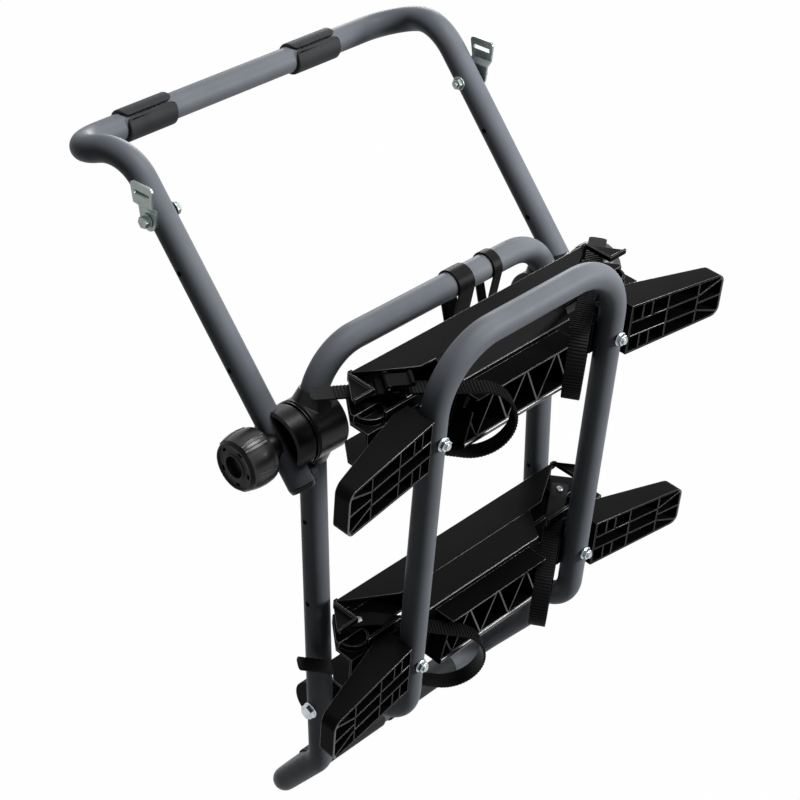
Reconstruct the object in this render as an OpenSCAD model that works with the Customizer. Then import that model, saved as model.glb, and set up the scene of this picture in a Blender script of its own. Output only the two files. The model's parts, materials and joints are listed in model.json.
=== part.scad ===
// Folding bike rack for the boot lid of a car: a main frame of bent tube, an upper frame that
// leans on the rear window, and a folding platform that carries two wheel trays.
// Origin at the middle of the bottom bar, +X along the bars, +Y towards the car, +Z up. Millimetres.

/* [Tube] */
// Outside diameter of the frame tube
tube_d = 32; // [30:0.5:34]
// Wall of the frame tube
tube_wall = 2; // [1.5:0.1:3]

/* [Main frame] */
// Half the distance between the main legs
leg_x = 199; // [192:1:206]
// How far the feet reach towards the car
foot_reach = 95; // [88:1:105]
// How far the feet drop to the bottom bar
foot_drop = 115; // [105:1:125]
// Height of the top bar above the bottom bar
main_h = 711; // [700:1:730]
// Bend radius at the top corners
top_bend_r = 70; // [60:1:80]
// Bend radius where a leg becomes a foot
foot_bend_r = 50; // [44:1:56]
// Bend radius where a foot becomes the bottom bar
toe_bend_r = 50; // [44:1:56]
// Height of the upper row of cross holes in the legs
high_hole_z = 495; // [470:1:520]
// Height of the lower row of cross holes in the legs
low_hole_z = 373; // [350:1:400]
// Radius of the cross holes in the legs
cross_hole_r = 3.5; // [2:0.1:5]
// Length of a rubber sleeve on the bottom bar
sleeve_len = 130; // [100:1:134]
// Wall of a rubber sleeve on the bottom bar
sleeve_wall = 2.4; // [1.5:0.1:4]
// Distance from the middle of the bar to a sleeve
sleeve_start = 7; // [4:0.5:12]

/* [Hub] */
// Height of the hub axis
hub_z = 624; // [610:1:632]
// Radius of the two hub halves
hub_r = 38; // [35:0.5:42]
// Distance from the main leg axis to the upper leg axis
hub_step = 49.4; // [48:0.2:52]
// Radius of the hub bolt
hub_bolt_r = 5; // [4:0.1:6]
// Length of a clamp knob
knob_len = 38; // [32:1:44]
// Largest radius of a clamp knob
knob_r = 34; // [31:0.5:37]

/* [Upper frame] */
// Lean of the upper frame towards the car, from upright
upper_tilt = 39.4; // [30:0.2:50]
// Distance from the hub to the corner of an upper leg
upper_leg = 365; // [350:1:380]
// Length of the part that hooks over the car
hook_len = 102; // [102:0.5:112]
// Turn from the leg to the hook
hook_turn = 68.6; // [60:0.2:75]
// How much wider the upper frame is at its corners, each side
flare = 20.6; // [12:0.2:22]
// Bend radius from the leg to the hook
hook_bend_r = 62; // [50:1:63]
// Bend radius from the hook to the crossbar
window_bend_r = 47; // [40:1:48]
// Length of upper leg below the hub
upper_tail = 54; // [52:1:58]
// Length of a window pad
pad_len = 72; // [50:1:90]
// Wall of a window pad
pad_wall = 4; // [2.5:0.1:6]
// Middle of the left window pad
pad_left_x = -146; // [-160:1:-130]
// Middle of the right window pad
pad_right_x = 119; // [105:1:135]
// Distance from the hub to a strap bracket
bracket_at = 282; // [270:1:292]
// Length of the webbing slot in a strap bracket
slot_len = 26; // [20:0.5:28]
// Height of the webbing slot in a strap bracket
slot_h = 5; // [3:0.2:7]
// Thickness of a strap bracket
bracket_t = 3; // [2:0.1:4]

/* [Platform] */
// Height of the platform pivot
pivot_z = 205; // [195:1:215]
// Lean of the folded platform away from the main frame
platform_lean = 5.25; // [4:0.05:6.5]
// Distance from the pivot to the plane of the platform tube
platform_gap = 99.3; // [97:0.1:108]
// Half the distance between the platform legs
platform_x = 151.4; // [146:0.2:153]
// Height of the platform top bar above the pivot
platform_top = 565; // [555:1:580]
// Height of the platform arms above the pivot
arm_z = 18; // [16:0.2:20]
// Bend radius at the top of the platform
platform_bend_r = 82; // [75:1:86]
// Bend radius at the foot of the platform legs
arm_bend_r = 48; // [42:1:52]
// Radius of the pivot bolts
pivot_bolt_r = 5; // [4:0.1:6]
// Half the width of a hinge bracket
bracket_half = 22; // [20:0.2:22.4]

/* [Wheel trays] */
// Height of the lower tray above the pivot
lower_tray_z = 121; // [115:1:130]
// Height of the upper tray above the pivot
upper_tray_z = 457; // [445:1:465]
// Half the length of a tray
tray_half = 228; // [222:1:234]
// Distance from the platform legs' plane back to the tray floor
floor_back = 24; // [22:0.2:26]
// Wall of the tray moulding
tray_wall = 3.6; // [3:0.1:4.5]
// Underside of a tray below its bolts
tray_low = 46; // [43:0.5:50]
// Top of a tray above its bolts
tray_high = 59; // [56:0.5:62]
// Depth of the lower side of the wheel trough, from the legs' plane
low_side_back = 78; // [70:1:84]
// Depth of the upper side of the wheel trough, from the legs' plane
high_side_back = 88; // [84:0.5:90]
// Upper side of the trough at its ends, above the bolts
end_high = 28; // [26:0.2:29]
// Lower side of the trough at its ends, below the bolts
end_low = 27.4; // [26:0.2:29]
// Top of the shelf that a strap's end lies on, above the bolts
shelf_v = 38; // [37:0.2:39]
// Top of the pocket block above a tray's end, above the bolts
block_v = 90; // [84:0.5:94]
// Length of one V of the zigzag ribs
rib_pitch = 52; // [44:1:54]
// Number of Vs in the zigzag ribs
rib_count = 4; // [2:1:4]
// Thickness of the ribs under a tray
rib_t = 2.6; // [2:0.1:3.5]
// Radius of the tray bolts
tray_bolt_r = 4; // [3:0.1:5]

/* [Tray ends] */
// Outer end of a tray end piece
end_x = 318; // [308:1:326]
// Height of a tray end at its root
end_root_h = 70; // [66:0.5:72]
// Height of a tray end at its tip
end_tip_h = 60; // [54:0.5:64]
// Depth of a tray end at its tip
end_depth = 22; // [16:0.5:28]
// How far the tip rim stands in front of the legs' plane
end_front = 40; // [34:0.5:46]
// Corner radius of a tray end
end_corner_r = 12; // [6:0.5:16]
// Wall of a tray end
end_wall = 3; // [2:0.1:4]
// Radius of the screws that hold a tray end
end_screw_r = 2; // [1.5:0.1:2.5]

/* [Wheel straps] */
// Width of a wheel strap
strap_w = 22; // [18:0.5:22.5]
// Thickness of a wheel strap without its teeth
strap_t = 2; // [1.6:0.1:2.4]
// Height of the strap teeth
tooth_h = 1; // [0.6:0.1:1.4]
// Spacing of the strap teeth
tooth_pitch = 4; // [3:0.5:6]
// Turn of a strap loop out of the tray's cross direction
strap_turn = 34; // [32:0.5:36]
// Distance from the loop's front back to the tip of the tail
strap_back = 235; // [230:1:238]
// Distance from the tip of a strap's tail to the buckle
buckle_at = 83; // [78:0.5:88]
// Radius of an upper strap's loop
upper_loop_r = 45; // [42:0.5:46]
// Radius of a lower strap's loop
lower_loop_r = 42.7; // [40:0.1:44]
// Slope of the lower straps towards the front
strap_droop = 17; // [14:0.5:18]
// Distance from the middle of the tray to a loop's front
loop_x = 47; // [44:0.5:48]
// How far a loop's front stands before the legs' plane
loop_front = 32; // [30:0.5:34]

/* [Hold straps] */
// Width of the wide hold strap
hold_wide = 26; // [20:0.5:30]
// Width of the narrow hold strap
hold_narrow = 14; // [10:0.5:18]
// Middle of the wide hold strap
hold_wide_x = 37; // [30:1:44]
// Middle of the narrow hold strap
hold_narrow_x = 91; // [84:1:96]
// How far a hold strap hangs below the top bar
hold_drop = 56; // [45:1:64]
// Thickness of a hold strap
hold_t = 2.4; // [1.6:0.1:3]

/* [Hidden] */
$fn = 64;

left = -1;
right = 1;
tube_colour = "#63676d";
moulded_colour = "#1c1d1f";
rubber_colour = "#2b2c2e";
zinc_colour = "#c5c9cc";
tube_r = tube_d / 2;
bore_r = tube_r - tube_wall;
// Thinning of the tube in its bends, and the reach of each straight run into them
bend_draw = 0.05;
bend_lap = 1.5;
// Clearances: a seated piece, a bolt in its hole, a turning pin, faces that pass each other
seat = 0.15;
hole_gap = 0.2;
run_gap = 0.05;
pass_gap = 0.3;
// Reach of a cutting tool beyond the face that it cuts
over = 1;
hub_web = 7;
hub_in = leg_x - tube_r - hub_web;
hub_face = leg_x + tube_r + 9;
neck_h = 10;
neck_wall = 4;
cup_start = hub_face + 2;
cup_floor = 5;
cup_wall = 4;
upper_x = leg_x + hub_step;
cup_rim = upper_x + 5.2;
collar_r = 17;
collar_start = upper_x + tube_r * 0.56;
knob_start = upper_x + tube_r + 13.6;
knob_socket_r = 9;
knob_socket = 6;
flute_count = 9;
flute_r = 4;
hub_head_h = 6;
hub_head_r = 9.5;
plug_reach = 12;
seam_turn = 14.6;
seam_gap = 2.4;
pad_corner = 9;
stop_r = 8;
upper_holes = [95, 215];
stop_reach = 24;
plug_cap = 6;
bracket_bolt_r = 4;
plate_start = upper_x + tube_r + 1.2;
plate_low_r = 13;
plate_w = 37;
plate_top = 46;
slot_up = 34;
plate_corner = 5;
plate_crank = 6;
pivot_flats = 17;
cheek_r = 26;
cheek_back = 27;
cheek_down = 18;
cheek_pivot_r = 16;
cheek_in = platform_x + bracket_half + pass_gap;
bracket_in = platform_x - bracket_half;
nut_h = 8;
head_h = 6.5;
arm_end = -26;
lug_r = 19;
socket_at = -34;
socket_r = tube_r + 8;
trays = [lower_tray_z, upper_tray_z];
slope_start = 26;
slope_back = 45;
lip_r = 4;
lip_v = -40;
rib_v = 20;
rib_front = 5;
zigzag_low = lip_v + lip_r;
zigzag_front = 2;
saddle_half_w = 20;
saddle_back = 10;
flange_r = 8.9;
flange_t = 1.6;
tray_nut_flats = 13;
tray_nut_h = 6.5;
end_root = platform_x + tube_r + 1.1;
end_land = 22;
end_middle = 3;
end_root_front = 16;
end_rib = 2.2;
end_cross = [0.4, 0.73];
end_small = [0.13, 0.23];
screw_at = 11;
screw_v = 20;
end_from = 104;
front_top = 85;
relief_low = 3;
relief_high = 17.5;
relief_back = 78;
relief_gap = 1.5;
front_low = 100;
notch_v = 16;
notch_to = 149;
notch_back = 46;
plate_front = 46;
plate_from = 128;
plate_to = 194;
block_from = 198;
block_front = 46;
block_wall = 3;
neck_v = 51;
shelf_from = 174;
shelf_to = 226;
shelf_front = 48;
cup_x = 203;
cup_r = 19;
cup_v = 36;
strap_tip = 26;
strap_plain = 60;
strap_end_run = 24;
strap_bend_run = 15;
rivet_in = 12;
tip_corner = 7;
upper_strap_v = 45.3;
lower_tail_v = 22.3;
rivet_r = 2.5;
rivet_head_r = 5;
rivet_head_h = 1.8;
buckle_side = 3;
buckle_in = strap_w / 2 + 0.5;
buckle_out = buckle_in + buckle_side;
buckle_low = -strap_t / 2 - pass_gap;
buckle_roof = strap_t / 2 + tooth_h + 0.5;
roof_t = 3;
pin_r = 1.6;
pin_v = buckle_roof + roof_t + 4;
buckle_half = 12;
lug_out = 4;
lever_len = 27;
lever_t = 3;
lever_half = buckle_in - pass_gap;
knuckle_r = 3.4;

// Geometry helpers
function unit(v) = v / norm(v);
function side_of(d) = unit(cross(d, abs(d[0]) < 0.9 ? [1, 0, 0] : [0, 1, 0]));
function flip(p) = [-p[0], p[1], p[2]];
function arc(c, r, a0, a1, n) = [for (i = [0 : n]) c + r * [cos(a0 + (a1 - a0) * i / n), sin(a0 + (a1 - a0) * i / n)]];

// Outline of a belt round two circles
function belt(c1, r1, c2, r2) =
    let (d = c2 - c1, a = atan2(d[1], d[0]), b = acos((r1 - r2) / norm(d)))
    concat(arc(c1, r1, a + b, a + 360 - b, 24), arc(c2, r2, a - b, a + b, 12));

// A frame with the given origin and first two axes
module placed(o, x, y) {
    z = cross(x, y);
    multmatrix([[x[0], y[0], z[0], o[0]], [x[1], y[1], z[1], o[1]], [x[2], y[2], z[2], o[2]], [0, 0, 0, 1]])
        children();
}

module rod(p, q, r) {
    d = unit(q - p);
    s = side_of(d);
    placed(p, s, cross(d, s)) cylinder(r = r, h = norm(q - p));
}

module elbow(corner, d0, d1, bend_r, r) {
    turn = acos(d0 * d1);
    inward = unit(d1 - d0 * (d0 * d1));
    centre = corner - d0 * bend_r * tan(turn / 2) + inward * bend_r;
    placed(centre, -inward, d0) rotate_extrude(angle = turn) translate([bend_r, 0]) circle(r = r);
}

// Round bar along a path with a bend radius at each corner
module bent_rod(pts, radii, r, closed) {
    n = len(pts);
    segs = closed ? n : n - 1;
    dirs = [for (i = [0 : segs - 1]) unit(pts[(i + 1) % n] - pts[i])];
    function bent(i) = closed || (i > 0 && i < n - 1);
    function turn(i) = acos(dirs[(i + segs - 1) % segs] * dirs[i]);
    function setback(i) = bent(i) ? radii[i] * tan(turn(i) / 2) - bend_lap : 0;
    for (i = [0 : segs - 1])
        rod(pts[i] + dirs[i] * setback(i), pts[(i + 1) % n] - dirs[i] * setback((i + 1) % n), r);
    for (i = [0 : n - 1])
        if (bent(i)) elbow(pts[i], dirs[(i + segs - 1) % segs], dirs[i], radii[i], r - bend_draw);
}

module bent_tube(pts, radii, closed = false) {
    difference() {
        bent_rod(pts, radii, tube_r, closed);
        bent_rod(pts, radii, bore_r, closed);
    }
}

module on_side(s) {
    if (s > 0) children();
    else mirror([1, 0, 0]) children();
}

module both_sides() {
    children();
    mirror([1, 0, 0]) children();
}

module along_x(r, x0, x1) {
    translate([x0, 0, 0]) rotate([0, 90, 0]) cylinder(r = r, h = x1 - x0);
}

module hex_x(flats, x0, x1) {
    translate([x0, 0, 0]) rotate([0, 90, 0]) cylinder(d = flats / cos(30), h = x1 - x0, $fn = 6);
}

// Along Y from y0 to y1
module along_y(r, y0, y1) {
    translate([0, y0, 0]) rotate([-90, 0, 0]) cylinder(r = r, h = y1 - y0);
}

// A drum along X with its rims broken by a chamfer
module drum(r, x0, x1, c) {
    translate([x0, 0, 0]) rotate([0, 90, 0]) rotate_extrude()
        polygon([[0, 0], [r - c, 0], [r, c], [r, x1 - x0 - c], [r - c, x1 - x0], [0, x1 - x0]]);
}

// A flat outline in Y and Z, carried along X from x0 to x1
module slab_x(x0, x1) {
    translate([x0, 0, 0]) rotate([90, 0, 90]) linear_extrude(x1 - x0) children();
}

// A flat outline in X and Z, carried along Y from y0 to y1
module slab_y(y0, y1) {
    translate([0, y1, 0]) rotate([90, 0, 0]) linear_extrude(y1 - y0) children();
}

// Places of the frames
module at_hub() {
    translate([0, -foot_reach, hub_z]) children();
}

module at_upper() {
    at_hub() rotate([-upper_tilt, 0, 0]) children();
}

module at_pivot() {
    translate([0, -foot_reach, pivot_z]) children();
}

module at_platform() {
    at_pivot() rotate([platform_lean, 0, 0]) children();
}

module at_tray(z) {
    at_platform() translate([0, -platform_gap, z]) children();
}

// Strap frame on a tray: X runs to the loop's front, Y across the strap, Z up the platform.
// The straps of the lower tray are turned over, so that their free tails lie below it.
module strap_frame(z, s) {
    mirror([0, 0, z == lower_tray_z ? 1 : 0])
        on_side(-s) translate([-loop_x, -loop_front, 0]) rotate([0, 0, -strap_turn]) children();
}

module at_strap(z, s) {
    at_tray(z) strap_frame(z, s) children();
}

// Main frame
main_path = [[-leg_x, -foot_reach, foot_drop], [-leg_x, 0, 0], [leg_x, 0, 0], [leg_x, -foot_reach, foot_drop],
    [leg_x, -foot_reach, main_h], [-leg_x, -foot_reach, main_h]];
main_radii = [foot_bend_r, toe_bend_r, toe_bend_r, foot_bend_r, top_bend_r, top_bend_r];

module main_tube() {
    reach = leg_x + tube_r + over;
    color(tube_colour) difference() {
        bent_tube(main_path, main_radii, true);
        at_hub() along_x(hub_bolt_r + hole_gap, -reach, reach);
        at_pivot() along_x(pivot_bolt_r + hole_gap, -reach, reach);
        for (z = [low_hole_z, high_hole_z])
            translate([0, -foot_reach, z]) along_x(cross_hole_r, -reach, reach);
    }
}

module bottom_sleeve() {
    difference() {
        drum(tube_r + sleeve_wall, sleeve_start, sleeve_start + sleeve_len, sleeve_wall / 3);
        along_x(tube_r + seat, 0, leg_x);
    }
}

module bottom_sleeve_left() {
    color(rubber_colour) on_side(left) bottom_sleeve();
}

module bottom_sleeve_right() {
    color(rubber_colour) on_side(right) bottom_sleeve();
}

module inner_hub() {
    bend_up = main_h - top_bend_r - hub_z;
    at_hub() difference() {
        union() {
            drum(hub_r, hub_in, hub_face, 2.5);
            along_x(hub_r - 5, hub_face - over, cup_start - pass_gap);
            translate([leg_x, 0, -hub_r - neck_h]) cylinder(r = tube_r + neck_wall, h = 2 * (hub_r + neck_h));
        }
        translate([leg_x, 0, -hub_r - neck_h - over])
            cylinder(r = tube_r + seat, h = bend_up + bend_lap + hub_r + neck_h + over);
        elbow([leg_x, 0, bend_up + top_bend_r], [0, 0, 1], [-1, 0, 0], top_bend_r, tube_r + seat - bend_draw);
        along_x(hub_bolt_r + hole_gap, hub_in - over, cup_start);
    }
}

module inner_hub_left() {
    color(moulded_colour) on_side(left) inner_hub();
}

module inner_hub_right() {
    color(moulded_colour) on_side(right) inner_hub();
}

module hub_bolt() {
    at_hub() {
        along_x(hub_bolt_r, hub_in - over, knob_start + knob_len - knob_socket - 2);
        hex_x(hub_head_r * 2 * cos(30), hub_in - hub_head_h, hub_in);
    }
}

module hub_bolt_left() {
    color(zinc_colour) on_side(left) hub_bolt();
}

module hub_bolt_right() {
    color(zinc_colour) on_side(right) hub_bolt();
}

module hinge_cheek() {
    at_pivot() difference() {
        slab_x(cheek_in, leg_x - tube_r / 2)
            polygon(belt([cheek_back, -cheek_down], cheek_r, [0, 0], cheek_pivot_r));
        translate([leg_x, 0, -2 * cheek_r]) cylinder(r = tube_r + seat, h = 4 * cheek_r);
        along_x(pivot_bolt_r + hole_gap, cheek_in - over, leg_x);
    }
}

module hinge_cheek_left() {
    color(moulded_colour) on_side(left) hinge_cheek();
}

module hinge_cheek_right() {
    color(moulded_colour) on_side(right) hinge_cheek();
}

module pivot_bolt() {
    outer = leg_x + tube_r + seat;
    at_pivot() {
        along_x(pivot_bolt_r, bracket_in - nut_h - 2, outer + over);
        along_x(pivot_flats * 0.62, outer, outer + flange_t);
        hex_x(pivot_flats, outer + flange_t - over, outer + flange_t + head_h);
    }
}

module pivot_bolt_left() {
    color(zinc_colour) on_side(left) pivot_bolt();
}

module pivot_bolt_right() {
    color(zinc_colour) on_side(right) pivot_bolt();
}

module pivot_nuts() {
    color(zinc_colour) both_sides() at_pivot() difference() {
        hex_x(pivot_flats, bracket_in - nut_h - pass_gap, bracket_in - pass_gap);
        along_x(pivot_bolt_r + run_gap, bracket_in - 2 * nut_h, bracket_in);
    }
}

module hold_strap(x, w) {
    r = tube_r + pass_gap;
    foot_r = 4;
    translate([0, -foot_reach, main_h]) slab_x(x - w / 2, x + w / 2) difference() {
        polygon(belt([0, 0], r + hold_t, [0, -hold_drop], foot_r + hold_t));
        polygon(belt([0, 0], r, [0, -hold_drop], foot_r));
    }
}

module hold_strap_wide() {
    color(rubber_colour) hold_strap(hold_wide_x, hold_wide);
}

module hold_strap_narrow() {
    color(rubber_colour) hold_strap(hold_narrow_x, hold_narrow);
}

// Upper frame
hook_y = hook_len * sin(hook_turn);
hook_z = upper_leg + hook_len * cos(hook_turn);
upper_half = [[upper_x, 0, -upper_tail], [upper_x, 0, upper_leg], [upper_x + flare, hook_y, hook_z]];
upper_path = [for (i = [0 : 5]) i < 3 ? flip(upper_half[i]) : upper_half[5 - i]];
upper_radii = [0, hook_bend_r, window_bend_r, window_bend_r, hook_bend_r, 0];

module upper_tube() {
    reach = upper_x + tube_r + over;
    color(tube_colour) at_upper() difference() {
        union() {
            bent_tube(upper_path, upper_radii);
            both_sides() translate([0, 0, -upper_tail + stop_r]) along_x(stop_r, upper_x - stop_reach, upper_x - bore_r);
        }
        along_x(hub_bolt_r + pass_gap, -reach, reach);
        translate([0, 0, bracket_at]) along_x(bracket_bolt_r + hole_gap, -reach, reach);
        for (z = upper_holes) translate([0, 0, z]) along_x(cross_hole_r, -reach, reach);
    }
}

// Rubber wrapped round the crossbar, with a seam on the side away from the car
module window_pad(x) {
    half = pad_len / 2;
    at_upper() translate([x, hook_y, hook_z]) rotate([-seam_turn, 0, 0]) difference() {
        drum(tube_r + pad_wall, -half, half, pad_wall / 3);
        along_x(tube_r + seat, -pad_len, pad_len);
        translate([0, -tube_r, 0]) rotate([90, 0, 0]) {
            translate([-pad_len, -seam_gap / 2, 0]) cube([2 * pad_len, seam_gap, tube_r]);
            for (mx = [0, 1], my = [0, 1]) mirror([mx, 0, 0]) mirror([0, my, 0])
                translate([0, 0, -tube_r * 0.7]) linear_extrude(2 * tube_r) difference() {
                    translate([half - pad_corner, 0]) square([pad_corner + over, pad_corner + seam_gap / 2]);
                    translate([half - pad_corner, pad_corner + seam_gap / 2]) circle(pad_corner);
                }
        }
    }
}

module window_pad_left() {
    color(rubber_colour) window_pad(pad_left_x);
}

module window_pad_right() {
    color(rubber_colour) window_pad(pad_right_x);
}

module upper_leg_channel() {
    translate([upper_x, 0, -2 * hub_r]) cylinder(r = tube_r + seat, h = 4 * hub_r);
}

module outer_hub() {
    saddle = tube_r + 3;
    channel = tube_r + seat;
    at_upper() difference() {
        drum(hub_r, cup_start, cup_rim, 2.5);
        difference() {
            along_x(hub_r - cup_wall, cup_start + cup_floor, cup_rim + over);
            translate([cup_start, -saddle, -hub_r]) cube([hub_step, 2 * saddle, 2 * hub_r]);
        }
        upper_leg_channel();
        translate([upper_x, -channel, -2 * hub_r]) cube([hub_step, 2 * channel, 4 * hub_r]);
        along_x(hub_bolt_r + run_gap, cup_start - over, cup_rim);
    }
}

module outer_hub_left() {
    color(moulded_colour) on_side(left) outer_hub();
}

module outer_hub_right() {
    color(moulded_colour) on_side(right) outer_hub();
}

module clamp_collar() {
    at_upper() difference() {
        along_x(collar_r, collar_start, knob_start - pass_gap);
        upper_leg_channel();
        along_x(hub_bolt_r + run_gap, collar_start - over, knob_start);
    }
}

module clamp_collar_left() {
    color(moulded_colour) on_side(left) clamp_collar();
}

module clamp_collar_right() {
    color(moulded_colour) on_side(right) clamp_collar();
}

module tube_end_plugs() {
    color(moulded_colour) both_sides() at_upper() translate([upper_x, 0, -upper_tail]) {
        cylinder(r = bore_r - seat, h = plug_reach);
        translate([0, 0, -plug_cap]) cylinder(r1 = tube_r - 2, r2 = tube_r, h = plug_cap);
    }
}

module bracket_bolts() {
    outer = plate_start + bracket_t + pass_gap;
    color(zinc_colour) both_sides() at_upper() translate([0, 0, bracket_at]) {
        along_x(bracket_bolt_r, upper_x - tube_r - tray_nut_h - 3, outer + over);
        along_x(flange_r, outer, outer + flange_t);
        hex_x(tray_nut_flats, outer + flange_t - over, outer + flange_t + head_h);
    }
}

module bracket_nuts() {
    inner = upper_x - tube_r - seat;
    color(zinc_colour) both_sides() at_upper() translate([0, 0, bracket_at]) difference() {
        union() {
            along_x(flange_r, inner - flange_t, inner);
            hex_x(tray_nut_flats, inner - tray_nut_h, inner - flange_t + over);
        }
        along_x(bracket_bolt_r + run_gap, inner - 2 * tray_nut_h, inner + over);
    }
}

// Clamp knob: a barrel with raised flutes and a socket in its face
module knob() {
    at_hub() difference() {
        union() {
            translate([knob_start, 0, 0]) rotate([0, 90, 0]) rotate_extrude()
                polygon([[0, 0], [knob_r - 4, 0], [knob_r - 1, 3], [knob_r, knob_len * 0.4],
                    [knob_r - 2, knob_len - 3], [knob_r - 5, knob_len], [0, knob_len]]);
            for (i = [0 : flute_count - 1])
                rotate([i * 360 / flute_count, 0, 0]) translate([0, 0, knob_r - flute_r + 1.5])
                    along_x(flute_r, knob_start + 4, knob_start + knob_len - 5);
        }
        along_x(hub_bolt_r + run_gap, knob_start - over, knob_start + knob_len);
        hex_x(knob_socket_r * 2, knob_start + knob_len - knob_socket, knob_start + knob_len + over);
    }
}

module knob_left() {
    color(moulded_colour) on_side(left) knob();
}

module knob_right() {
    color(moulded_colour) on_side(right) knob();
}

module bracket_outline() {
    half = plate_w / 2;
    polygon(concat(arc([0, 0], plate_low_r, 180, 360, 16),
        arc([half - plate_corner, plate_top - plate_corner], plate_corner, 0, 90, 6),
        arc([plate_corner - half, plate_top - plate_corner], plate_corner, 90, 180, 6)));
}

// Side view of the bracket: its slotted end is set off from the tube
module bracket_crank() {
    low = plate_start + bracket_t;
    high = low + plate_crank;
    bend = plate_low_r + 1;
    reach = 2 * plate_top;
    polygon([[plate_start, -reach], [low, -reach], [low, bend], [high, bend + plate_crank], [high, reach],
        [high - bracket_t, reach], [high - bracket_t, bend + plate_crank + over], [plate_start, bend + over]]);
}

module strap_bracket() {
    at_hub() translate([0, bracket_at * sin(upper_tilt), bracket_at * cos(upper_tilt)]) difference() {
        intersection() {
            slab_x(plate_start, plate_start + bracket_t + plate_crank) bracket_outline();
            slab_y(-plate_w, plate_w) bracket_crank();
        }
        along_x(bracket_bolt_r + run_gap, plate_start - over, plate_start + bracket_t + over);
        slab_x(plate_start - over, plate_start + bracket_t + plate_crank + over)
            translate([-slot_len / 2, slot_up - slot_h / 2]) square([slot_len, slot_h]);
    }
}

module strap_bracket_left() {
    color(zinc_colour) on_side(left) strap_bracket();
}

module strap_bracket_right() {
    color(zinc_colour) on_side(right) strap_bracket();
}

// Platform
platform_half = [[platform_x, arm_end, arm_z], [platform_x, -platform_gap, arm_z],
    [platform_x, -platform_gap, platform_top]];
platform_path = [for (i = [0 : 5]) i < 3 ? flip(platform_half[i]) : platform_half[5 - i]];
platform_radii = [0, arm_bend_r, platform_bend_r, platform_bend_r, arm_bend_r, 0];

module platform_tube() {
    color(tube_colour) at_platform() difference() {
        bent_tube(platform_path, platform_radii);
        for (x = [-platform_x, platform_x], z = trays)
            translate([x, -platform_gap, z]) along_y(tray_bolt_r + hole_gap, -tube_d, tube_d);
    }
}

module hinge_bracket() {
    front = arm_bend_r - platform_gap;
    at_platform() difference() {
        slab_x(bracket_in, platform_x + bracket_half)
            polygon(belt([socket_at, arm_z], socket_r, [0, 0], lug_r));
        along_x(pivot_bolt_r + run_gap, bracket_in - over, platform_x + bracket_half + over);
        translate([platform_x, 0, arm_z]) along_y(tube_r + seat, front - tube_d, arm_end + seat);
        translate([bracket_in - over, front - tube_d, arm_z - 2 * tube_d])
            cube([2 * bracket_half + 2 * over, tube_d + seat, 4 * tube_d]);
    }
}

module hinge_bracket_left() {
    color(tube_colour) on_side(left) hinge_bracket();
}

module hinge_bracket_right() {
    color(tube_colour) on_side(right) hinge_bracket();
}

// Section of the wheel trough in Y and Z: floor, two sides and the slope between
module trough_section() {
    inner = floor_back + tray_wall;
    translate([floor_back, -tray_low]) square([tray_wall, tray_low + slope_start + tray_wall / 2]);
    translate([floor_back, -tray_low]) square([low_side_back - floor_back, tray_wall]);
    polygon([[floor_back, slope_start], [slope_back, tray_high], [slope_back + tray_wall * 1.2, tray_high],
        [inner, slope_start]]);
    translate([slope_back, tray_high - tray_wall]) square([high_side_back - slope_back, tray_wall]);
}

// Long lip and thin rib that stand in front of the floor between the straps
module front_rib_section() {
    translate([0, lip_v - lip_r]) square([floor_back + over, 2 * lip_r]);
    translate([0, lip_v]) circle(r = lip_r);
    translate([-rib_front, rib_v - rib_t / 2]) square([floor_back + rib_front + over, rib_t]);
}

module zigzag() {
    half = rib_t / 2;
    for (i = [0 : 2 * rib_count - 1]) {
        x0 = (i - rib_count) * rib_pitch / 2;
        x1 = x0 + rib_pitch / 2;
        z0 = i % 2 == 0 ? rib_v : zigzag_low - over;
        z1 = i % 2 == 0 ? zigzag_low - over : rib_v;
        polygon([[x0 - half, z0], [x0 + half, z0], [x1 + half, z1], [x1 - half, z1]]);
    }
}

// Outline of the ribbed front, narrower at its top
module front_outline(inset) {
    polygon([for (p = [[front_top, rib_v + rib_t], [front_low, -tray_low], [-front_low, -tray_low],
        [-front_top, rib_v + rib_t]]) [p[0] - sign(p[0]) * inset, p[1]]]);
}

// Room for a strap that runs back from its loop past the ribs
module strap_relief() {
    translate([-loop_x, -loop_front, relief_low]) rotate([0, 0, -strap_turn])
        translate([-relief_back, -strap_w, 0])
            cube([relief_back, strap_w * 3 / 2 + relief_gap, relief_high - relief_low]);
}

// Ribs and lip in front of the floor, closed by a slanting rib at each side
module tray_front() {
    intersection() {
        union() {
            slab_x(-front_low, front_low) front_rib_section();
            slab_y(-zigzag_front, floor_back + over) zigzag();
            slab_y(-zigzag_front, floor_back + over) difference() {
                translate([-front_low, zigzag_low - over]) square([2 * front_low, rib_v - zigzag_low + over]);
                front_outline(rib_t);
            }
        }
        slab_y(-tube_d, floor_back + 2 * over) front_outline(0);
    }
}

module tray_rivet_holes(z) {
    at = strap_spot(z, strap_len(z) - rivet_in);
    for (s = [left, right])
        strap_frame(z, s) translate([at[0], 0, -shelf_v - 2 * over])
            cylinder(r = rivet_r + hole_gap, h = shelf_v - end_low + 3 * tray_wall);
}

// Section of a tray's end: the floor and two sides that are closer together
module end_section() {
    translate([floor_back, -end_low]) square([tray_wall, end_low + end_high]);
    translate([floor_back, end_high - tray_wall]) square([high_side_back - floor_back, tray_wall]);
    translate([floor_back, -end_low]) square([low_side_back - floor_back, tray_wall]);
}

// Walls between the middle of the trough and its narrower ends
module step_section() {
    polygon([[floor_back, end_high - tray_wall], [floor_back, slope_start], [slope_back, tray_high],
        [high_side_back, tray_high], [high_side_back, end_high - tray_wall]]);
    translate([floor_back, -tray_low]) square([low_side_back - floor_back, tray_low - end_low + tray_wall]);
}

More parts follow.
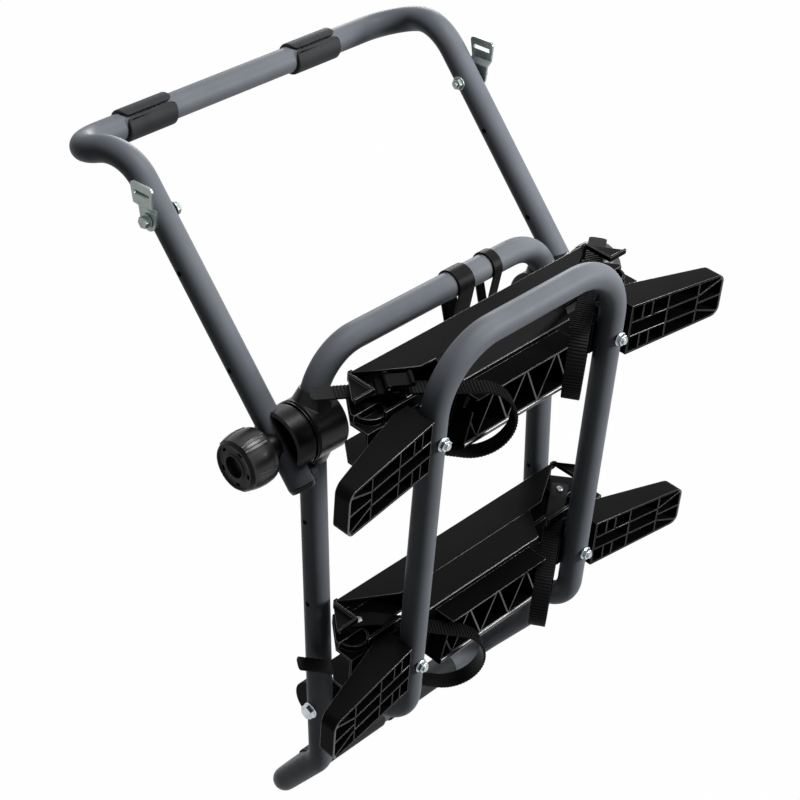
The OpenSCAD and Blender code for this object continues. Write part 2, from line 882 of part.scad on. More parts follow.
// Top plate of a tray's end, cut back along the strap
module end_plate() {
    back = high_side_back;
    translate([0, 0, tray_high - tray_wall]) linear_extrude(tray_wall)
        polygon([[end_from - over, slope_back], [plate_from, plate_front], [plate_to, back - tray_wall],
            [tray_half, back - tray_wall], [tray_half, back], [end_from - over, back]]);
}

// Wall behind the strap, with a passage for its tail
module end_back() {
    thick = tray_wall;
    translate([end_from - over, high_side_back - thick, end_high - over])
        cube([plate_to - end_from + over, thick, tray_high - end_high + over]);
    translate([plate_to - over, high_side_back - thick, neck_v])
        cube([tray_half - plate_to + over, thick, block_v - neck_v]);
}

// Pocket block above the strap, open at the tray's end
module end_block() {
    deep = high_side_back - block_front;
    difference() {
        translate([block_from, block_front, tray_high - tray_wall])
            cube([tray_half - block_from, deep, block_v - tray_high + tray_wall]);
        translate([block_from + block_wall, block_front + block_wall, tray_high])
            cube([tray_half, deep - 2 * block_wall, block_v - tray_high - block_wall]);
        translate([block_from + 2 * block_wall, block_front - over, (tray_high + block_v) / 2])
            cube([tray_half, 2 * block_wall, block_v]);
    }
}

// Shelf under a strap's end, with a half round cup before it
module end_shelf() {
    translate([shelf_from, shelf_front, end_high - over])
        cube([shelf_to - shelf_from, high_side_back - shelf_front, shelf_v - end_high + over]);
    difference() {
        translate([cup_x, shelf_front, end_high - over]) cylinder(r = cup_r, h = cup_v - end_high + over);
        translate([cup_x, shelf_front, end_high - 2 * over]) cylinder(r = cup_r - block_wall, h = cup_v);
        translate([cup_x - cup_r - over, shelf_front + over, end_high - 2 * over])
            cube([2 * cup_r + 2 * over, cup_r, cup_v]);
    }
}

module tray(z) {
    at_tray(z) difference() {
        union() {
            slab_x(-end_from, end_from) trough_section();
            tray_front();
            both_sides() {
                slab_x(end_from - over, tray_half) end_section();
                slab_x(end_from - tray_wall, end_from) step_section();
                end_plate();
                end_back();
                end_block();
                end_shelf();
                translate([platform_x - saddle_half_w, saddle_back, -end_low])
                    cube([2 * saddle_half_w, floor_back - saddle_back + over, end_low + end_high]);
            }
        }
        both_sides() {
            translate([platform_x, 0, -tray_low]) cylinder(r = tube_r + seat, h = tray_low + tray_high);
            translate([platform_x, 0, 0]) along_y(tray_bolt_r + hole_gap, 0, floor_back + tray_wall + over);
            for (v = [-screw_v, screw_v])
                translate([end_root + screw_at, 0, end_middle + v])
                    along_y(end_screw_r + hole_gap, 0, floor_back + tray_wall + over);
            translate([end_root - over, 0, -tray_low - over])
                cube([tray_half, floor_back, tray_low + tray_high + 2 * over]);
        }
        both_sides() strap_relief();
        both_sides() translate([end_from, saddle_back - over, notch_v])
            cube([notch_to - end_from, notch_back - saddle_back + over, end_high - notch_v + over]);
        tray_rivet_holes(z);
    }
}

module upper_tray() {
    color(moulded_colour) tray(upper_tray_z);
}

module lower_tray() {
    color(moulded_colour) tray(lower_tray_z);
}

// Tray end: an open tray with ribs, whose floor rises towards the tip
function end_outline(inset) =
    let (low = end_middle - end_root_h / 2 + inset, high = end_middle + end_root_h / 2 - inset,
        tip = end_x - end_corner_r, r = end_corner_r - inset, rise = end_tip_h / 2 - end_corner_r)
    concat([[end_root + inset, low]], arc([tip, end_middle - rise], r, -90, 0, 8),
        arc([tip, end_middle + rise], r, 0, 90, 8), [[end_root + inset, high]]);

module end_plan(lift, front) {
    tip_back = end_depth - end_front;
    polygon([[end_root, floor_back - lift], [end_root + end_land, floor_back - lift],
        [end_x, tip_back - lift], [end_x, -end_front - front], [end_root, -end_root_front - front]]);
}

module end_ribs() {
    span = end_x - end_root;
    third = end_tip_h / 6;
    fan = end_root + span * end_cross[1];
    for (v = [-third, third])
        translate([end_root, end_middle + v - end_rib / 2]) square([fan - end_root, end_rib]);
    for (c = end_cross)
        translate([end_root + span * c - end_rib / 2, end_middle - end_root_h / 2]) square([end_rib, end_root_h]);
    for (c = end_small, m = [0, 1])
        mirror([0, m]) translate([end_root + span * c - end_rib / 2, third - (m == 0 ? -end_middle : end_middle)])
            square([end_rib, end_root_h]);
    for (a = [-1, 0, 1]) {
        z0 = end_middle + a * third;
        z1 = end_middle + a * end_tip_h / 2.4;
        polygon([[fan, z0 - end_rib / 2], [end_x, z1 - end_rib / 2], [end_x, z1 + end_rib / 2],
            [fan, z0 + end_rib / 2]]);
    }
}

module tray_end() {
    low = end_middle - end_root_h / 2;
    difference() {
        intersection() {
            translate([0, 0, low]) linear_extrude(end_root_h) end_plan(0, 0);
            slab_y(-2 * end_front, 2 * floor_back) polygon(end_outline(0));
        }
        intersection() {
            translate([0, 0, low]) linear_extrude(end_root_h) end_plan(end_wall, end_front);
            slab_y(-2 * end_front, 2 * floor_back) difference() {
                polygon(end_outline(end_wall));
                end_ribs();
            }
        }
        for (v = [-screw_v, screw_v])
            translate([end_root + screw_at, 0, end_middle + v])
                along_y(end_screw_r + hole_gap, 0, floor_back + over);
    }
}

module tray_end_upper_left() {
    color(moulded_colour) at_tray(upper_tray_z) on_side(left) tray_end();
}

module tray_end_upper_right() {
    color(moulded_colour) at_tray(upper_tray_z) on_side(right) tray_end();
}

module tray_end_lower_left() {
    color(moulded_colour) at_tray(lower_tray_z) on_side(left) tray_end();
}

module tray_end_lower_right() {
    color(moulded_colour) at_tray(lower_tray_z) on_side(right) tray_end();
}

module tray_end_screws() {
    head = floor_back - end_wall;
    color(zinc_colour) for (z = trays, v = [-screw_v, screw_v])
        at_tray(z) both_sides() translate([end_root + screw_at, 0, end_middle + v]) {
            along_y(end_screw_r, head - over, floor_back + tray_wall);
            along_y(end_screw_r * 2, head - end_screw_r, head);
        }
}

module tray_bolts() {
    back = floor_back + tray_wall;
    color(zinc_colour) for (z = trays)
        at_tray(z) both_sides() translate([platform_x, 0, 0]) {
            along_y(tray_bolt_r, -tube_r - tray_nut_h - 3, back + over);
            along_y(flange_r, back, back + flange_t);
            translate([0, back + flange_t - over, 0]) rotate([-90, 0, 0])
                cylinder(d = tray_nut_flats / cos(30), h = head_h, $fn = 6);
        }
}

module tray_nuts() {
    front = -tube_r - seat;
    color(zinc_colour) for (z = trays)
        at_tray(z) both_sides() translate([platform_x, 0, 0]) difference() {
            union() {
                along_y(flange_r, front - flange_t, front);
                translate([0, front - tray_nut_h, 0]) rotate([-90, 0, 0])
                    cylinder(d = tray_nut_flats / cos(30), h = tray_nut_h - flange_t + over / 2, $fn = 6);
            }
            along_y(tray_bolt_r + run_gap, front - 2 * tray_nut_h, front + over);
        }
}

// Wheel straps: a toothed band from the tip of its tail, round in front of the tray to its rivet.
// A path is a list of runs, each with a length and a turn to the left in degrees.
function turned_on(p, run) =
    run[1] == 0 ? [p[0] + run[0] * cos(p[2]), p[1] + run[0] * sin(p[2]), p[2]]
    : let (r = run[0] / run[1] * 180 / PI, h = p[2] + run[1])
        [p[0] + r * (sin(h) - sin(p[2])), p[1] - r * (cos(h) - cos(p[2])), h];
function starts(p, runs, i = 0) =
    i == len(runs) ? [p] : concat([p], starts(turned_on(p, runs[i]), runs, i + 1));
function length_to(runs, i) = i == 0 ? 0 : runs[i - 1][0] + length_to(runs, i - 1);
function half_turn(r, a) = r * a * PI / 180;

upper_rise = 14;
upper_dip = 4;
upper_runs = [[95, 0], [strap_bend_run, -upper_dip], [80, 0],
    [half_turn(upper_loop_r, 180 + upper_rise - upper_dip), -(180 + upper_rise - upper_dip)], [78, 0],
    [strap_bend_run, upper_rise], [strap_end_run, 0]];
upper_starts = starts([-strap_back, upper_strap_v, 0], upper_runs);
lower_runs = [[182, 0], [half_turn(lower_loop_r, 180), -180], [106, 0], [strap_bend_run, -strap_droop],
    [strap_end_run, 0]];
lower_starts = starts([-strap_back, lower_tail_v, strap_droop], lower_runs);

function runs_of(z) = z == lower_tray_z ? lower_runs : upper_runs;
function starts_of(z) = z == lower_tray_z ? lower_starts : upper_starts;
function strap_len(z) = length_to(runs_of(z), len(runs_of(z)));

// Place and heading at a length along the strap
function strap_spot(z, s, i = 0) =
    let (run = runs_of(z)[i])
    s <= run[0] || i == len(runs_of(z)) - 1 ? turned_on(starts_of(z)[i], [s, run[1] * s / run[0]])
    : strap_spot(z, s - run[0], i + 1);
function strap_at(z, s, out) = let (p = strap_spot(z, s)) [p[0] - out * sin(p[2]), p[1] + out * cos(p[2])];

function strap_outline(z) =
    let (whole = strap_len(z), base = strap_t / 2, teeth = floor((whole - strap_tip - strap_plain) / tooth_pitch),
        n = floor(whole / tooth_pitch))
    concat(
        [for (i = [0 : 5]) strap_at(z, strap_tip * i / 6, base)],
        [for (i = [0 : teeth - 1], k = [0 : 3])
            strap_at(z, strap_tip + (i + [0, 0.5, 0.55, 0.95][k]) * tooth_pitch, base + (k < 2 ? tooth_h : 0))],
        [for (i = [0 : 14]) strap_at(z, strap_tip + teeth * tooth_pitch
            + (whole - strap_tip - teeth * tooth_pitch) * i / 14, base)],
        [for (i = [2 * n : -1 : 0]) strap_at(z, i * whole / (2 * n), -base)]);

// Children at a length along the strap, with X along it and Z out of the loop
module on_strap(z, s) {
    p = strap_spot(z, s);
    translate([p[0], 0, p[1]]) rotate([0, -p[2], 0]) children();
}

// What is cut off two corners to round a strap's end
module strap_corner_cut(r) {
    for (m = [0, 1]) mirror([0, m, 0]) translate([0, 0, -strap_w / 2]) linear_extrude(strap_w) difference() {
        translate([-over, strap_w / 2 - r]) square([r + over, r + over]);
        translate([r, strap_w / 2 - r]) circle(r);
    }
}

module strap(z, s) {
    at_strap(z, s) difference() {
        translate([0, strap_w / 2, 0]) rotate([90, 0, 0]) linear_extrude(strap_w) polygon(strap_outline(z));
        on_strap(z, 0) strap_corner_cut(tip_corner);
        on_strap(z, strap_len(z)) mirror([1, 0, 0]) strap_corner_cut(strap_w / 2 - over);
        on_strap(z, strap_len(z) - rivet_in) translate([0, 0, -2 * strap_t])
            cylinder(r = rivet_r + hole_gap, h = 4 * strap_t);
    }
}

module strap_upper_left() {
    color(rubber_colour) strap(upper_tray_z, left);
}

module strap_upper_right() {
    color(rubber_colour) strap(upper_tray_z, right);
}

module strap_lower_left() {
    color(rubber_colour) strap(lower_tray_z, left);
}

module strap_lower_right() {
    color(rubber_colour) strap(lower_tray_z, right);
}

module strap_rivets() {
    color(zinc_colour) for (z = trays, s = [left, right]) {
        at = strap_spot(z, strap_len(z) - rivet_in);
        low = at[1] - strap_t / 2;
        high = -(z == lower_tray_z ? end_high : end_low) + tray_wall;
        at_strap(z, s) translate([at[0], 0, 0]) {
            translate([0, 0, low - rivet_head_h])
                cylinder(r1 = rivet_head_r - 1, r2 = rivet_head_r, h = rivet_head_h);
            translate([0, 0, low - over]) cylinder(r = rivet_r, h = high - low + 2 * over);
            translate([0, 0, high]) cylinder(r1 = rivet_head_r, r2 = rivet_head_r - 1, h = rivet_head_h);
        }
    }
}

// Buckle: a box round the strap with two ears for its lever
module buckle(z, s) {
    ear_r = knuckle_r + 1;
    floor_v = buckle_low - roof_t;
    at_strap(z, s) on_strap(z, buckle_at) difference() {
        union() {
            translate([-buckle_half, -buckle_out, floor_v])
                cube([2 * buckle_half, 2 * buckle_out, buckle_roof + roof_t - floor_v]);
            for (y = [-buckle_out, buckle_in])
                translate([0, y, pin_v]) rotate([-90, 0, 0]) cylinder(r = ear_r, h = buckle_side);
            for (y = [-buckle_out, buckle_in])
                translate([-ear_r, y, buckle_roof]) cube([2 * ear_r, buckle_side, pin_v - buckle_roof]);
        }
        translate([-2 * buckle_half, -buckle_in, buckle_low])
            cube([4 * buckle_half, 2 * buckle_in, buckle_roof - buckle_low]);
        translate([0, -buckle_out - over, pin_v]) rotate([-90, 0, 0])
            cylinder(r = pin_r + seat, h = 2 * buckle_out + 2 * over);
    }
}

module buckle_upper_left() {
    color(moulded_colour) buckle(upper_tray_z, left);
}

module buckle_upper_right() {
    color(moulded_colour) buckle(upper_tray_z, right);
}

module buckle_lower_left() {
    color(moulded_colour) buckle(lower_tray_z, left);
}

module buckle_lower_right() {
    color(moulded_colour) buckle(lower_tray_z, right);
}

module buckle_pins() {
    color(zinc_colour) for (z = trays, s = [left, right])
        at_strap(z, s) on_strap(z, buckle_at) translate([0, -buckle_out, pin_v]) rotate([-90, 0, 0])
            cylinder(r = pin_r, h = 2 * buckle_out);
}

// Thumb lever on the buckle pin, lying over the box: to the front above, to the tail below
module lever(z, s) {
    at_strap(z, s) on_strap(z, buckle_at) translate([0, 0, pin_v]) mirror([z == lower_tray_z ? 1 : 0, 0, 0])
        difference() {
            union() {
                translate([0, -lever_half, 0]) rotate([-90, 0, 0]) cylinder(r = knuckle_r, h = 2 * lever_half);
                translate([0, -lever_half, 0]) cube([lever_len, 2 * lever_half, lever_t]);
                translate([lever_len, -lever_half, lever_t]) rotate([-90, 0, 0])
                    cylinder(r = lever_t, h = 2 * lever_half);
            }
            translate([0, -lever_half - over, 0]) rotate([-90, 0, 0])
                cylinder(r = pin_r + run_gap, h = 2 * lever_half + 2 * over);
        }
}

module lever_upper_left() {
    color(moulded_colour) lever(upper_tray_z, left);
}

module lever_upper_right() {
    color(moulded_colour) lever(upper_tray_z, right);
}

module lever_lower_left() {
    color(moulded_colour) lever(lower_tray_z, left);
}

module lever_lower_right() {
    color(moulded_colour) lever(lower_tray_z, right);
}

main_tube();
bottom_sleeve_left();
bottom_sleeve_right();
inner_hub_left();
inner_hub_right();
hub_bolt_left();
hub_bolt_right();
hinge_cheek_left();
hinge_cheek_right();
pivot_bolt_left();
pivot_bolt_right();
pivot_nuts();
hold_strap_wide();
hold_strap_narrow();
upper_tube();
window_pad_left();
window_pad_right();
outer_hub_left();
outer_hub_right();
clamp_collar_left();
clamp_collar_right();
tube_end_plugs();
bracket_bolts();
bracket_nuts();
knob_left();
knob_right();
strap_bracket_left();
strap_bracket_right();
platform_tube();
hinge_bracket_left();
hinge_bracket_right();
upper_tray();
lower_tray();
tray_end_upper_left();
tray_end_upper_right();
tray_end_lower_left();
tray_end_lower_right();
tray_end_screws();
tray_bolts();
tray_nuts();
strap_upper_left();
strap_upper_right();
strap_lower_left();
strap_lower_right();
strap_rivets();
buckle_upper_left();
buckle_upper_right();
buckle_lower_left();
buckle_lower_right();
buckle_pins();
lever_upper_left();
lever_upper_right();
lever_lower_left();
lever_lower_right();
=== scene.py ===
"""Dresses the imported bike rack: swept tubes, modelled clamps and straps, eased mouldings and finishes."""
from __future__ import annotations

import json
import logging
import math
from dataclasses import dataclass, field
from enum import Enum
from typing import Any, Callable, Iterable, Sequence

import bpy
from mathutils import Matrix, Vector

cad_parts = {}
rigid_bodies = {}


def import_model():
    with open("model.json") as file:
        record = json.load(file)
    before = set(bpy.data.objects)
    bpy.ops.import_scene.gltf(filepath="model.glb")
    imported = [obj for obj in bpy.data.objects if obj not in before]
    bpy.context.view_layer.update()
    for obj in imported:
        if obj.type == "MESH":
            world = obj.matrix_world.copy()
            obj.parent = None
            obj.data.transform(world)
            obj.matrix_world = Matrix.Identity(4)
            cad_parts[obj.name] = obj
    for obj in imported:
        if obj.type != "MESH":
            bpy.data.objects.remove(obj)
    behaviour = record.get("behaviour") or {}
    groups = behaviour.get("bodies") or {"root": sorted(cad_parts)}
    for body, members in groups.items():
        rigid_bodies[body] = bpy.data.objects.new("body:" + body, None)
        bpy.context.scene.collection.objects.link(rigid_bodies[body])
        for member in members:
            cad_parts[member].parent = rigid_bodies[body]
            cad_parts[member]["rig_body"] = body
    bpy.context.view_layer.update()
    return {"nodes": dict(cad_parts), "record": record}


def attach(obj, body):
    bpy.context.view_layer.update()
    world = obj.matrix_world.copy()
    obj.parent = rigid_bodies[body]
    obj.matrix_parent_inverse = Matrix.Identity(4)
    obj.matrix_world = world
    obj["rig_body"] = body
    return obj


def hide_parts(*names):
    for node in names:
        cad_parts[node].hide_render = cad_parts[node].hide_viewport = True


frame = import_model()
LOG = logging.getLogger("rack")
MM = 0.001
# Short names for types.
Piece = bpy.types.Object
Pair = tuple[float, float]
Spot = tuple[float, float, float]

# Places that several pieces share, in mm, and the leans of the two moving frames and of the hooks, in degrees.
LEG_X = 199.0
LEG_Y = -95.0
TOP_Z = 711.0
TOP_BEND = 70.0
HUB_Z = 624.0
PIVOT_Z = 205.0
PLATFORM_Y = -99.3
UPPER_LEAN = 39.4
PLATFORM_LEAN = 5.25
HOOK_LEAN = 68.6
# Points nearer than this are the same, in metres.
NEAR = 1e-5
# Parts of the noise over which a finish's tones mix and its roughness rises, and the strength of its bump.
CLOUD_BAND, GRIT_BAND, BUMP_SHARE = (0.35, 0.65), (0.3, 0.7), 0.5


class Side(Enum):
    """The two sides of the rack, by the sign of X."""

    LEFT = -1
    RIGHT = 1


class Slot(Enum):
    """The record's material slots."""

    TUBE = "tube"
    MOULDED = "moulded"
    RUBBER = "rubber"
    STRAP = "strap"
    ZINC = "zinc"


SLOTS = {part["node"]: Slot(part["material_slot"]) for part in frame["record"]["subparts"]}


class Operation(Enum):
    """What a tool does to a piece."""

    ADD = "UNION"
    CUT = "DIFFERENCE"


def leaning(height: float, turn: float) -> Matrix:
    """Returns a place at a height in mm on the main legs, turned about X by an angle in degrees."""
    return Matrix.Translation((0, LEG_Y * MM, height * MM)) @ Matrix.Rotation(math.radians(turn), 4, "X")


ON_UPPER = leaning(HUB_Z, -UPPER_LEAN)
ON_PLATFORM = leaning(PIVOT_Z, PLATFORM_LEAN)


class Tray(Enum):
    """The two wheel trays, by their height up the platform in mm."""

    UPPER = 457.0
    LOWER = 121.0

    def place(self) -> Matrix:
        """Returns the tray's place."""
        return ON_PLATFORM @ Matrix.Translation((0, PLATFORM_Y * MM, self.value * MM))


def linear(hex_colour: str) -> tuple[float, float, float, float]:
    """Turns an sRGB hex colour into linear RGBA.

    Args:
        hex_colour: Colour as "#rrggbb".

    Returns:
        Linear red, green, blue and an alpha of 1.
    """
    parts = [int(hex_colour[i:i + 2], 16) / 255 for i in (1, 3, 5)]
    flat = [p / 12.92 if p <= 0.04045 else ((p + 0.055) / 1.055) ** 2.4 for p in parts]
    return (flat[0], flat[1], flat[2], 1.0)


def empty_tree(owner: bpy.types.Material | bpy.types.World) -> bpy.types.NodeTree:
    """Empties the node tree of a material or of the world.

    Args:
        owner: The material or world.

    Returns:
        Its node tree.
    """
    owner.use_nodes = True
    owner.node_tree.nodes.clear()
    return owner.node_tree


def add_node(tree: bpy.types.NodeTree, kind: str, inputs: dict[Any, Any] | None = None,
             **settings: Any) -> bpy.types.Node:
    """Adds a shader node with its settings, values and links.

    Args:
        tree: The node tree.
        kind: The node's type name without its ShaderNode prefix.
        inputs: Input name or index to a value, or to an output socket to link.
        **settings: Attributes to set on the node.

    Returns:
        The new node.
    """
    node = tree.nodes.new("ShaderNode" + kind)
    for name, value in settings.items():
        setattr(node, name, value)
    for key, value in (inputs or {}).items():
        if isinstance(value, bpy.types.NodeSocket):
            tree.links.new(value, node.inputs[key])
        else:
            node.inputs[key].default_value = value
    return node


@dataclass(frozen=True)
class Finish:
    """A procedural finish: two tones mixed by a cloudy pattern, with grit in roughness and bump.

    Attributes:
        name: Material name, for what the surface is.
        tone: Main colour, sRGB hex.
        second: Colour of the clouds, sRGB hex.
        cloud_mm: Size of the colour clouds.
        grit_mm: Size of the surface grit.
        bump_mm: Height of the grit.
        rough: Lowest and highest roughness.
        metallic: 1 for bare metal, else 0.
        specular: Specular level of the surface.
    """

    name: str
    tone: str
    second: str
    cloud_mm: float
    grit_mm: float
    bump_mm: float
    rough: Pair
    metallic: float = 0.0
    specular: float = 0.5

    def material(self) -> bpy.types.Material:
        """Returns the finish's material, made once."""
        return bpy.data.materials.get(self.name) or self.build()

    def build(self) -> bpy.types.Material:
        """Makes the material.

        Returns:
            The node material.
        """
        material = bpy.data.materials.new(self.name)
        tree = empty_tree(material)
        place = add_node(tree, "TexCoord").outputs["Object"]
        clouds, grit = (
            add_node(tree, "TexNoise", {"Vector": place, "Scale": 1 / (size * MM), "Detail": detail})
            for size, detail in ((self.cloud_mm, 3.0), (self.grit_mm, 2.0)))
        tones = add_node(tree, "ValToRGB", {"Fac": clouds.outputs["Fac"]})
        for stop, spot, tone in zip(tones.color_ramp.elements, CLOUD_BAND, (self.second, self.tone)):
            stop.position = spot
            stop.color = linear(tone)
        rough = add_node(tree, "MapRange", {
            "Value": grit.outputs["Fac"], "From Min": GRIT_BAND[0], "From Max": GRIT_BAND[1],
            "To Min": self.rough[0], "To Max": self.rough[1]})
        bump = add_node(tree, "Bump", {"Height": grit.outputs["Fac"], "Strength": BUMP_SHARE,
                                       "Distance": self.bump_mm * MM})
        shader = add_node(tree, "BsdfPrincipled", {
            "Base Color": tones.outputs["Color"], "Roughness": rough.outputs["Result"],
            "Normal": bump.outputs["Normal"], "Metallic": self.metallic, "Specular IOR Level": self.specular})
        add_node(tree, "OutputMaterial", {"Surface": shader.outputs["BSDF"]})
        return material


# Powder coat on steel tube: an even slate grey with a fine leathery skin that softens its highlight.
# The real skin is about 0.5 mm, drawn at 1.4 mm so that it shows.
POWDER_COAT = Finish("powder_coated_steel", "#686c72", "#62666c", 60, 1.4, 0.03, (0.4, 0.5), specular=0.06)
# Glass filled polypropylene from an etched tool: near black, with hardly a shine on its flats.
TRAY_MOULDING = Finish("moulded_polypropylene", "#0a0a0a", "#080808", 45, 1.1, 0.02, (0.44, 0.54),
                       specular=0.025)
# The same moulding in a lighter tone with a far stronger shine, put on eased edges, rib tops and the round lip
# as a painted highlight.
MOULDING_EDGE_HIGHLIGHT = Finish("polished_polypropylene_edge", "#161617", "#121213", 30, 1.1, 0.01, (0.26, 0.36),
                      specular=0.7)
# Nylon hub parts from an eroded tool: black with a soft satin shine.
HUB_NYLON = Finish("moulded_nylon", "#0d0d0e", "#0a0a0b", 40, 0.9, 0.02, (0.27, 0.35), specular=0.15)
# Nylon of the hand knobs' faces: a rougher, duller grain than the hubs.
KNOB_NYLON = Finish("moulded_nylon_grip", "#080809", "#060607", 40, 0.9, 0.03, (0.32, 0.4), specular=0.1)
# The knobs' barrels: a lighter tone and a stronger shine than the faces, a painted sheen.
KNOB_BARREL_PAINTED_SHEEN = Finish("rubbed_nylon_grip", "#111112", "#0e0e0f", 40, 0.9, 0.02, (0.3, 0.4), specular=0.5)
# Rubber sleeve and pads: dark grey, dull, with a dusty bloom.
SOFT_RUBBER = Finish("soft_rubber", "#2a2b2d", "#242527", 25, 1.0, 0.05, (0.55, 0.7), specular=0.15)
# Polyurethane strap: charcoal, satin, slightly dusty.
STRAP_RUBBER = Finish("strap_polyurethane", "#101011", "#0d0d0e", 18, 0.9, 0.03, (0.4, 0.55), specular=0.07)
# Zinc plating: pale grey metal with faint bluish clouds and a soft sheen.
ZINC_PLATE = Finish("zinc_plated_steel", "#c9cfd2", "#aab3b8", 9, 0.8, 0.02, (0.22, 0.36), metallic=1.0)
# Passivated zinc on the strap plates: a greyer, faintly green metal.
ZINC_SHEET = Finish("passivated_zinc_sheet", "#929c98", "#828c88", 9, 0.8, 0.02, (0.34, 0.46), metallic=1.0)

FINISHES: dict[Slot, Finish] = {
    Slot.TUBE: POWDER_COAT, Slot.MOULDED: TRAY_MOULDING, Slot.RUBBER: SOFT_RUBBER,
    Slot.STRAP: STRAP_RUBBER, Slot.ZINC: ZINC_PLATE,
}


def select_only(piece: Piece) -> None:
    """Makes one object the only selected and active one.

    Args:
        piece: The object.
    """
    bpy.ops.object.select_all(action="DESELECT")
    piece.select_set(True)
    bpy.context.view_layer.objects.active = piece


def settle(piece: Piece) -> None:
    """Puts a piece's place, turn and scale into its mesh."""
    select_only(piece)
    bpy.ops.object.transform_apply(location=True, rotation=True, scale=True)


def add_mesh(add: Callable[..., Any], **settings: Any) -> Piece:
    """Adds a mesh with nothing else selected, and settles it.

    Args:
        add: The operator that adds it.
        **settings: What the operator takes.

    Returns:
        The new object.
    """
    bpy.ops.object.select_all(action="DESELECT")
    add(**settings)
    settle(bpy.context.object)
    return bpy.context.object


def apply_modifier(piece: Piece, kind: str, **settings: Any) -> None:
    """Adds a modifier with its settings and applies it.

    Args:
        piece: The object.
        kind: Modifier type.
        **settings: Attributes to set on the modifier.
    """
    select_only(piece)
    modifier = piece.modifiers.new(kind.lower(), kind)
    for name, value in settings.items():
        setattr(modifier, name, value)
    bpy.ops.object.modifier_apply(modifier=modifier.name)


def ease(piece: Piece, width_mm: float, angle: float, segments: int = 2, **settings: Any) -> None:
    """Eases the edges of a piece that are sharper than an angle in degrees."""
    apply_modifier(piece, "BEVEL", width=width_mm * MM, segments=segments, limit_method="ANGLE",
                   angle_limit=math.radians(angle), **settings)


def combine(piece: Piece, tools: Iterable[Piece], operation: Operation) -> None:
    """Adds tools to a piece or cuts them out of it, and removes them.

    Args:
        piece: The object.
        tools: The tools.
        operation: What they do.
    """
    for tool in tools:
        apply_modifier(piece, "BOOLEAN", operation=operation.value, object=tool, solver="EXACT")
        bpy.data.objects.remove(tool)


def smooth(piece: Piece, angle: float = 32.0) -> None:
    """Shades a piece smooth, with edges sharper than an angle in degrees kept."""
    select_only(piece)
    bpy.ops.object.shade_smooth_by_angle(angle=math.radians(angle))


def open_edit(piece: Piece, mode: str, action: str) -> None:
    """Opens a piece in edit mode.

    Args:
        piece: The object.
        mode: What is selected, "FACE" or "EDGE".
        action: "SELECT" for all of it, or "DESELECT".
    """
    select_only(piece)
    bpy.ops.object.mode_set(mode="EDIT")
    bpy.ops.mesh.select_mode(type=mode)
    bpy.ops.mesh.select_all(action=action)


def close_edit() -> None:
    """Leaves edit mode."""
    bpy.ops.object.mode_set(mode="OBJECT")


def edit(piece: Piece, mode: str, test: Callable[[Any], bool]) -> None:
    """Opens a piece in edit mode with chosen faces or edges selected.

    Args:
        piece: The object.
        mode: "FACE" or "EDGE".
        test: Says of a face, or of the two ends of an edge, whether it is chosen.
    """
    open_edit(piece, mode, "DESELECT")
    close_edit()
    mesh = piece.data
    for item in mesh.polygons if mode == "FACE" else mesh.edges:
        item.select = test(item if mode == "FACE" else [mesh.vertices[i].co for i in item.vertices])
    bpy.ops.object.mode_set(mode="EDIT")


def close_ends(piece: Piece) -> None:
    """Fills the open ends of a swept piece.

    Args:
        piece: The object.
    """
    open_edit(piece, "EDGE", "DESELECT")
    bpy.ops.mesh.select_non_manifold()
    bpy.ops.mesh.fill_holes(sides=0)
    bpy.ops.mesh.select_all(action="SELECT")
    bpy.ops.mesh.normals_make_consistent(inside=False)
    close_edit()


def stand_in(piece: Piece, node: str) -> None:
    """Lets a piece stand in for a CAD node, on the node's body.

    Args:
        piece: The piece.
        node: The node's name.
    """
    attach(piece, frame["nodes"][node]["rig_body"])
    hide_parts(node)
    LOG.info("%s: %d faces", piece.name, len(piece.data.polygons))


def add_finish(piece: Piece, finish: Finish) -> int:
    """Adds a finish to a piece and returns the number of its place."""
    piece.data.materials.append(finish.material())
    return len(piece.material_slots) - 1


def coat(piece: Piece, finish: Finish) -> None:
    """Gives a piece one finish all over.

    Args:
        piece: The object.
        finish: Its finish.
    """
    if not piece.material_slots:
        add_finish(piece, finish)
    for place in piece.material_slots:
        place.material = finish.material()


@dataclass
class RoundedNode:
    """A CAD node whose edges are eased, as a moulding or a turned part has them.

    Attributes:
        edge_mm: Width of the eased edges.
        angle: Edges sharper than this are eased, in degrees.
        joined: Whether flat faces are joined from their triangles first.
        edge_finish: A lighter, shinier finish on the eased edges that paints their highlight, None for the
            node's own.
        weld_mm: Points nearer than this are one.
        flat_deg: Faces that turn less than this are joined.
    """

    node: str
    finish: Finish
    edge_mm: float = 0.5
    angle: float = 40.0
    segments: int = 2
    joined: bool = True
    edge_finish: Finish | None = None
    weld_mm: float = 0.004
    flat_deg: float = 0.6

    def shape(self, piece: Piece) -> None:
        """Leaves a plain node in its shape."""

    def polish(self, piece: Piece, place: int) -> None:
        """Paints no highlights on a plain node: its faces keep their finishes."""

    def build(self) -> None:
        """Copies the node, merges its faces, eases its edges and dresses it."""
        mesh = frame["nodes"][self.node].data.copy()
        piece = bpy.data.objects.new("dressed_" + self.node, mesh)
        bpy.context.scene.collection.objects.link(piece)
        open_edit(piece, "EDGE", "SELECT")
        bpy.ops.mesh.remove_doubles(threshold=self.weld_mm * MM)
        if self.joined:
            bpy.ops.mesh.dissolve_limited(angle_limit=math.radians(self.flat_deg))
        close_edit()
        self.shape(piece)
        coat(piece, self.finish)
        # The eased edges take a lighter, shinier finish: a painted highlight.
        place = add_finish(piece, self.edge_finish) if self.edge_finish else -1
        ease(piece, self.edge_mm, self.angle, self.segments, use_clamp_overlap=False, miter_outer="MITER_ARC",
             material=place)
        self.polish(piece, place)
        smooth(piece)
        apply_modifier(piece, "WEIGHTED_NORMAL", keep_sharp=True)
        stand_in(piece, self.node)


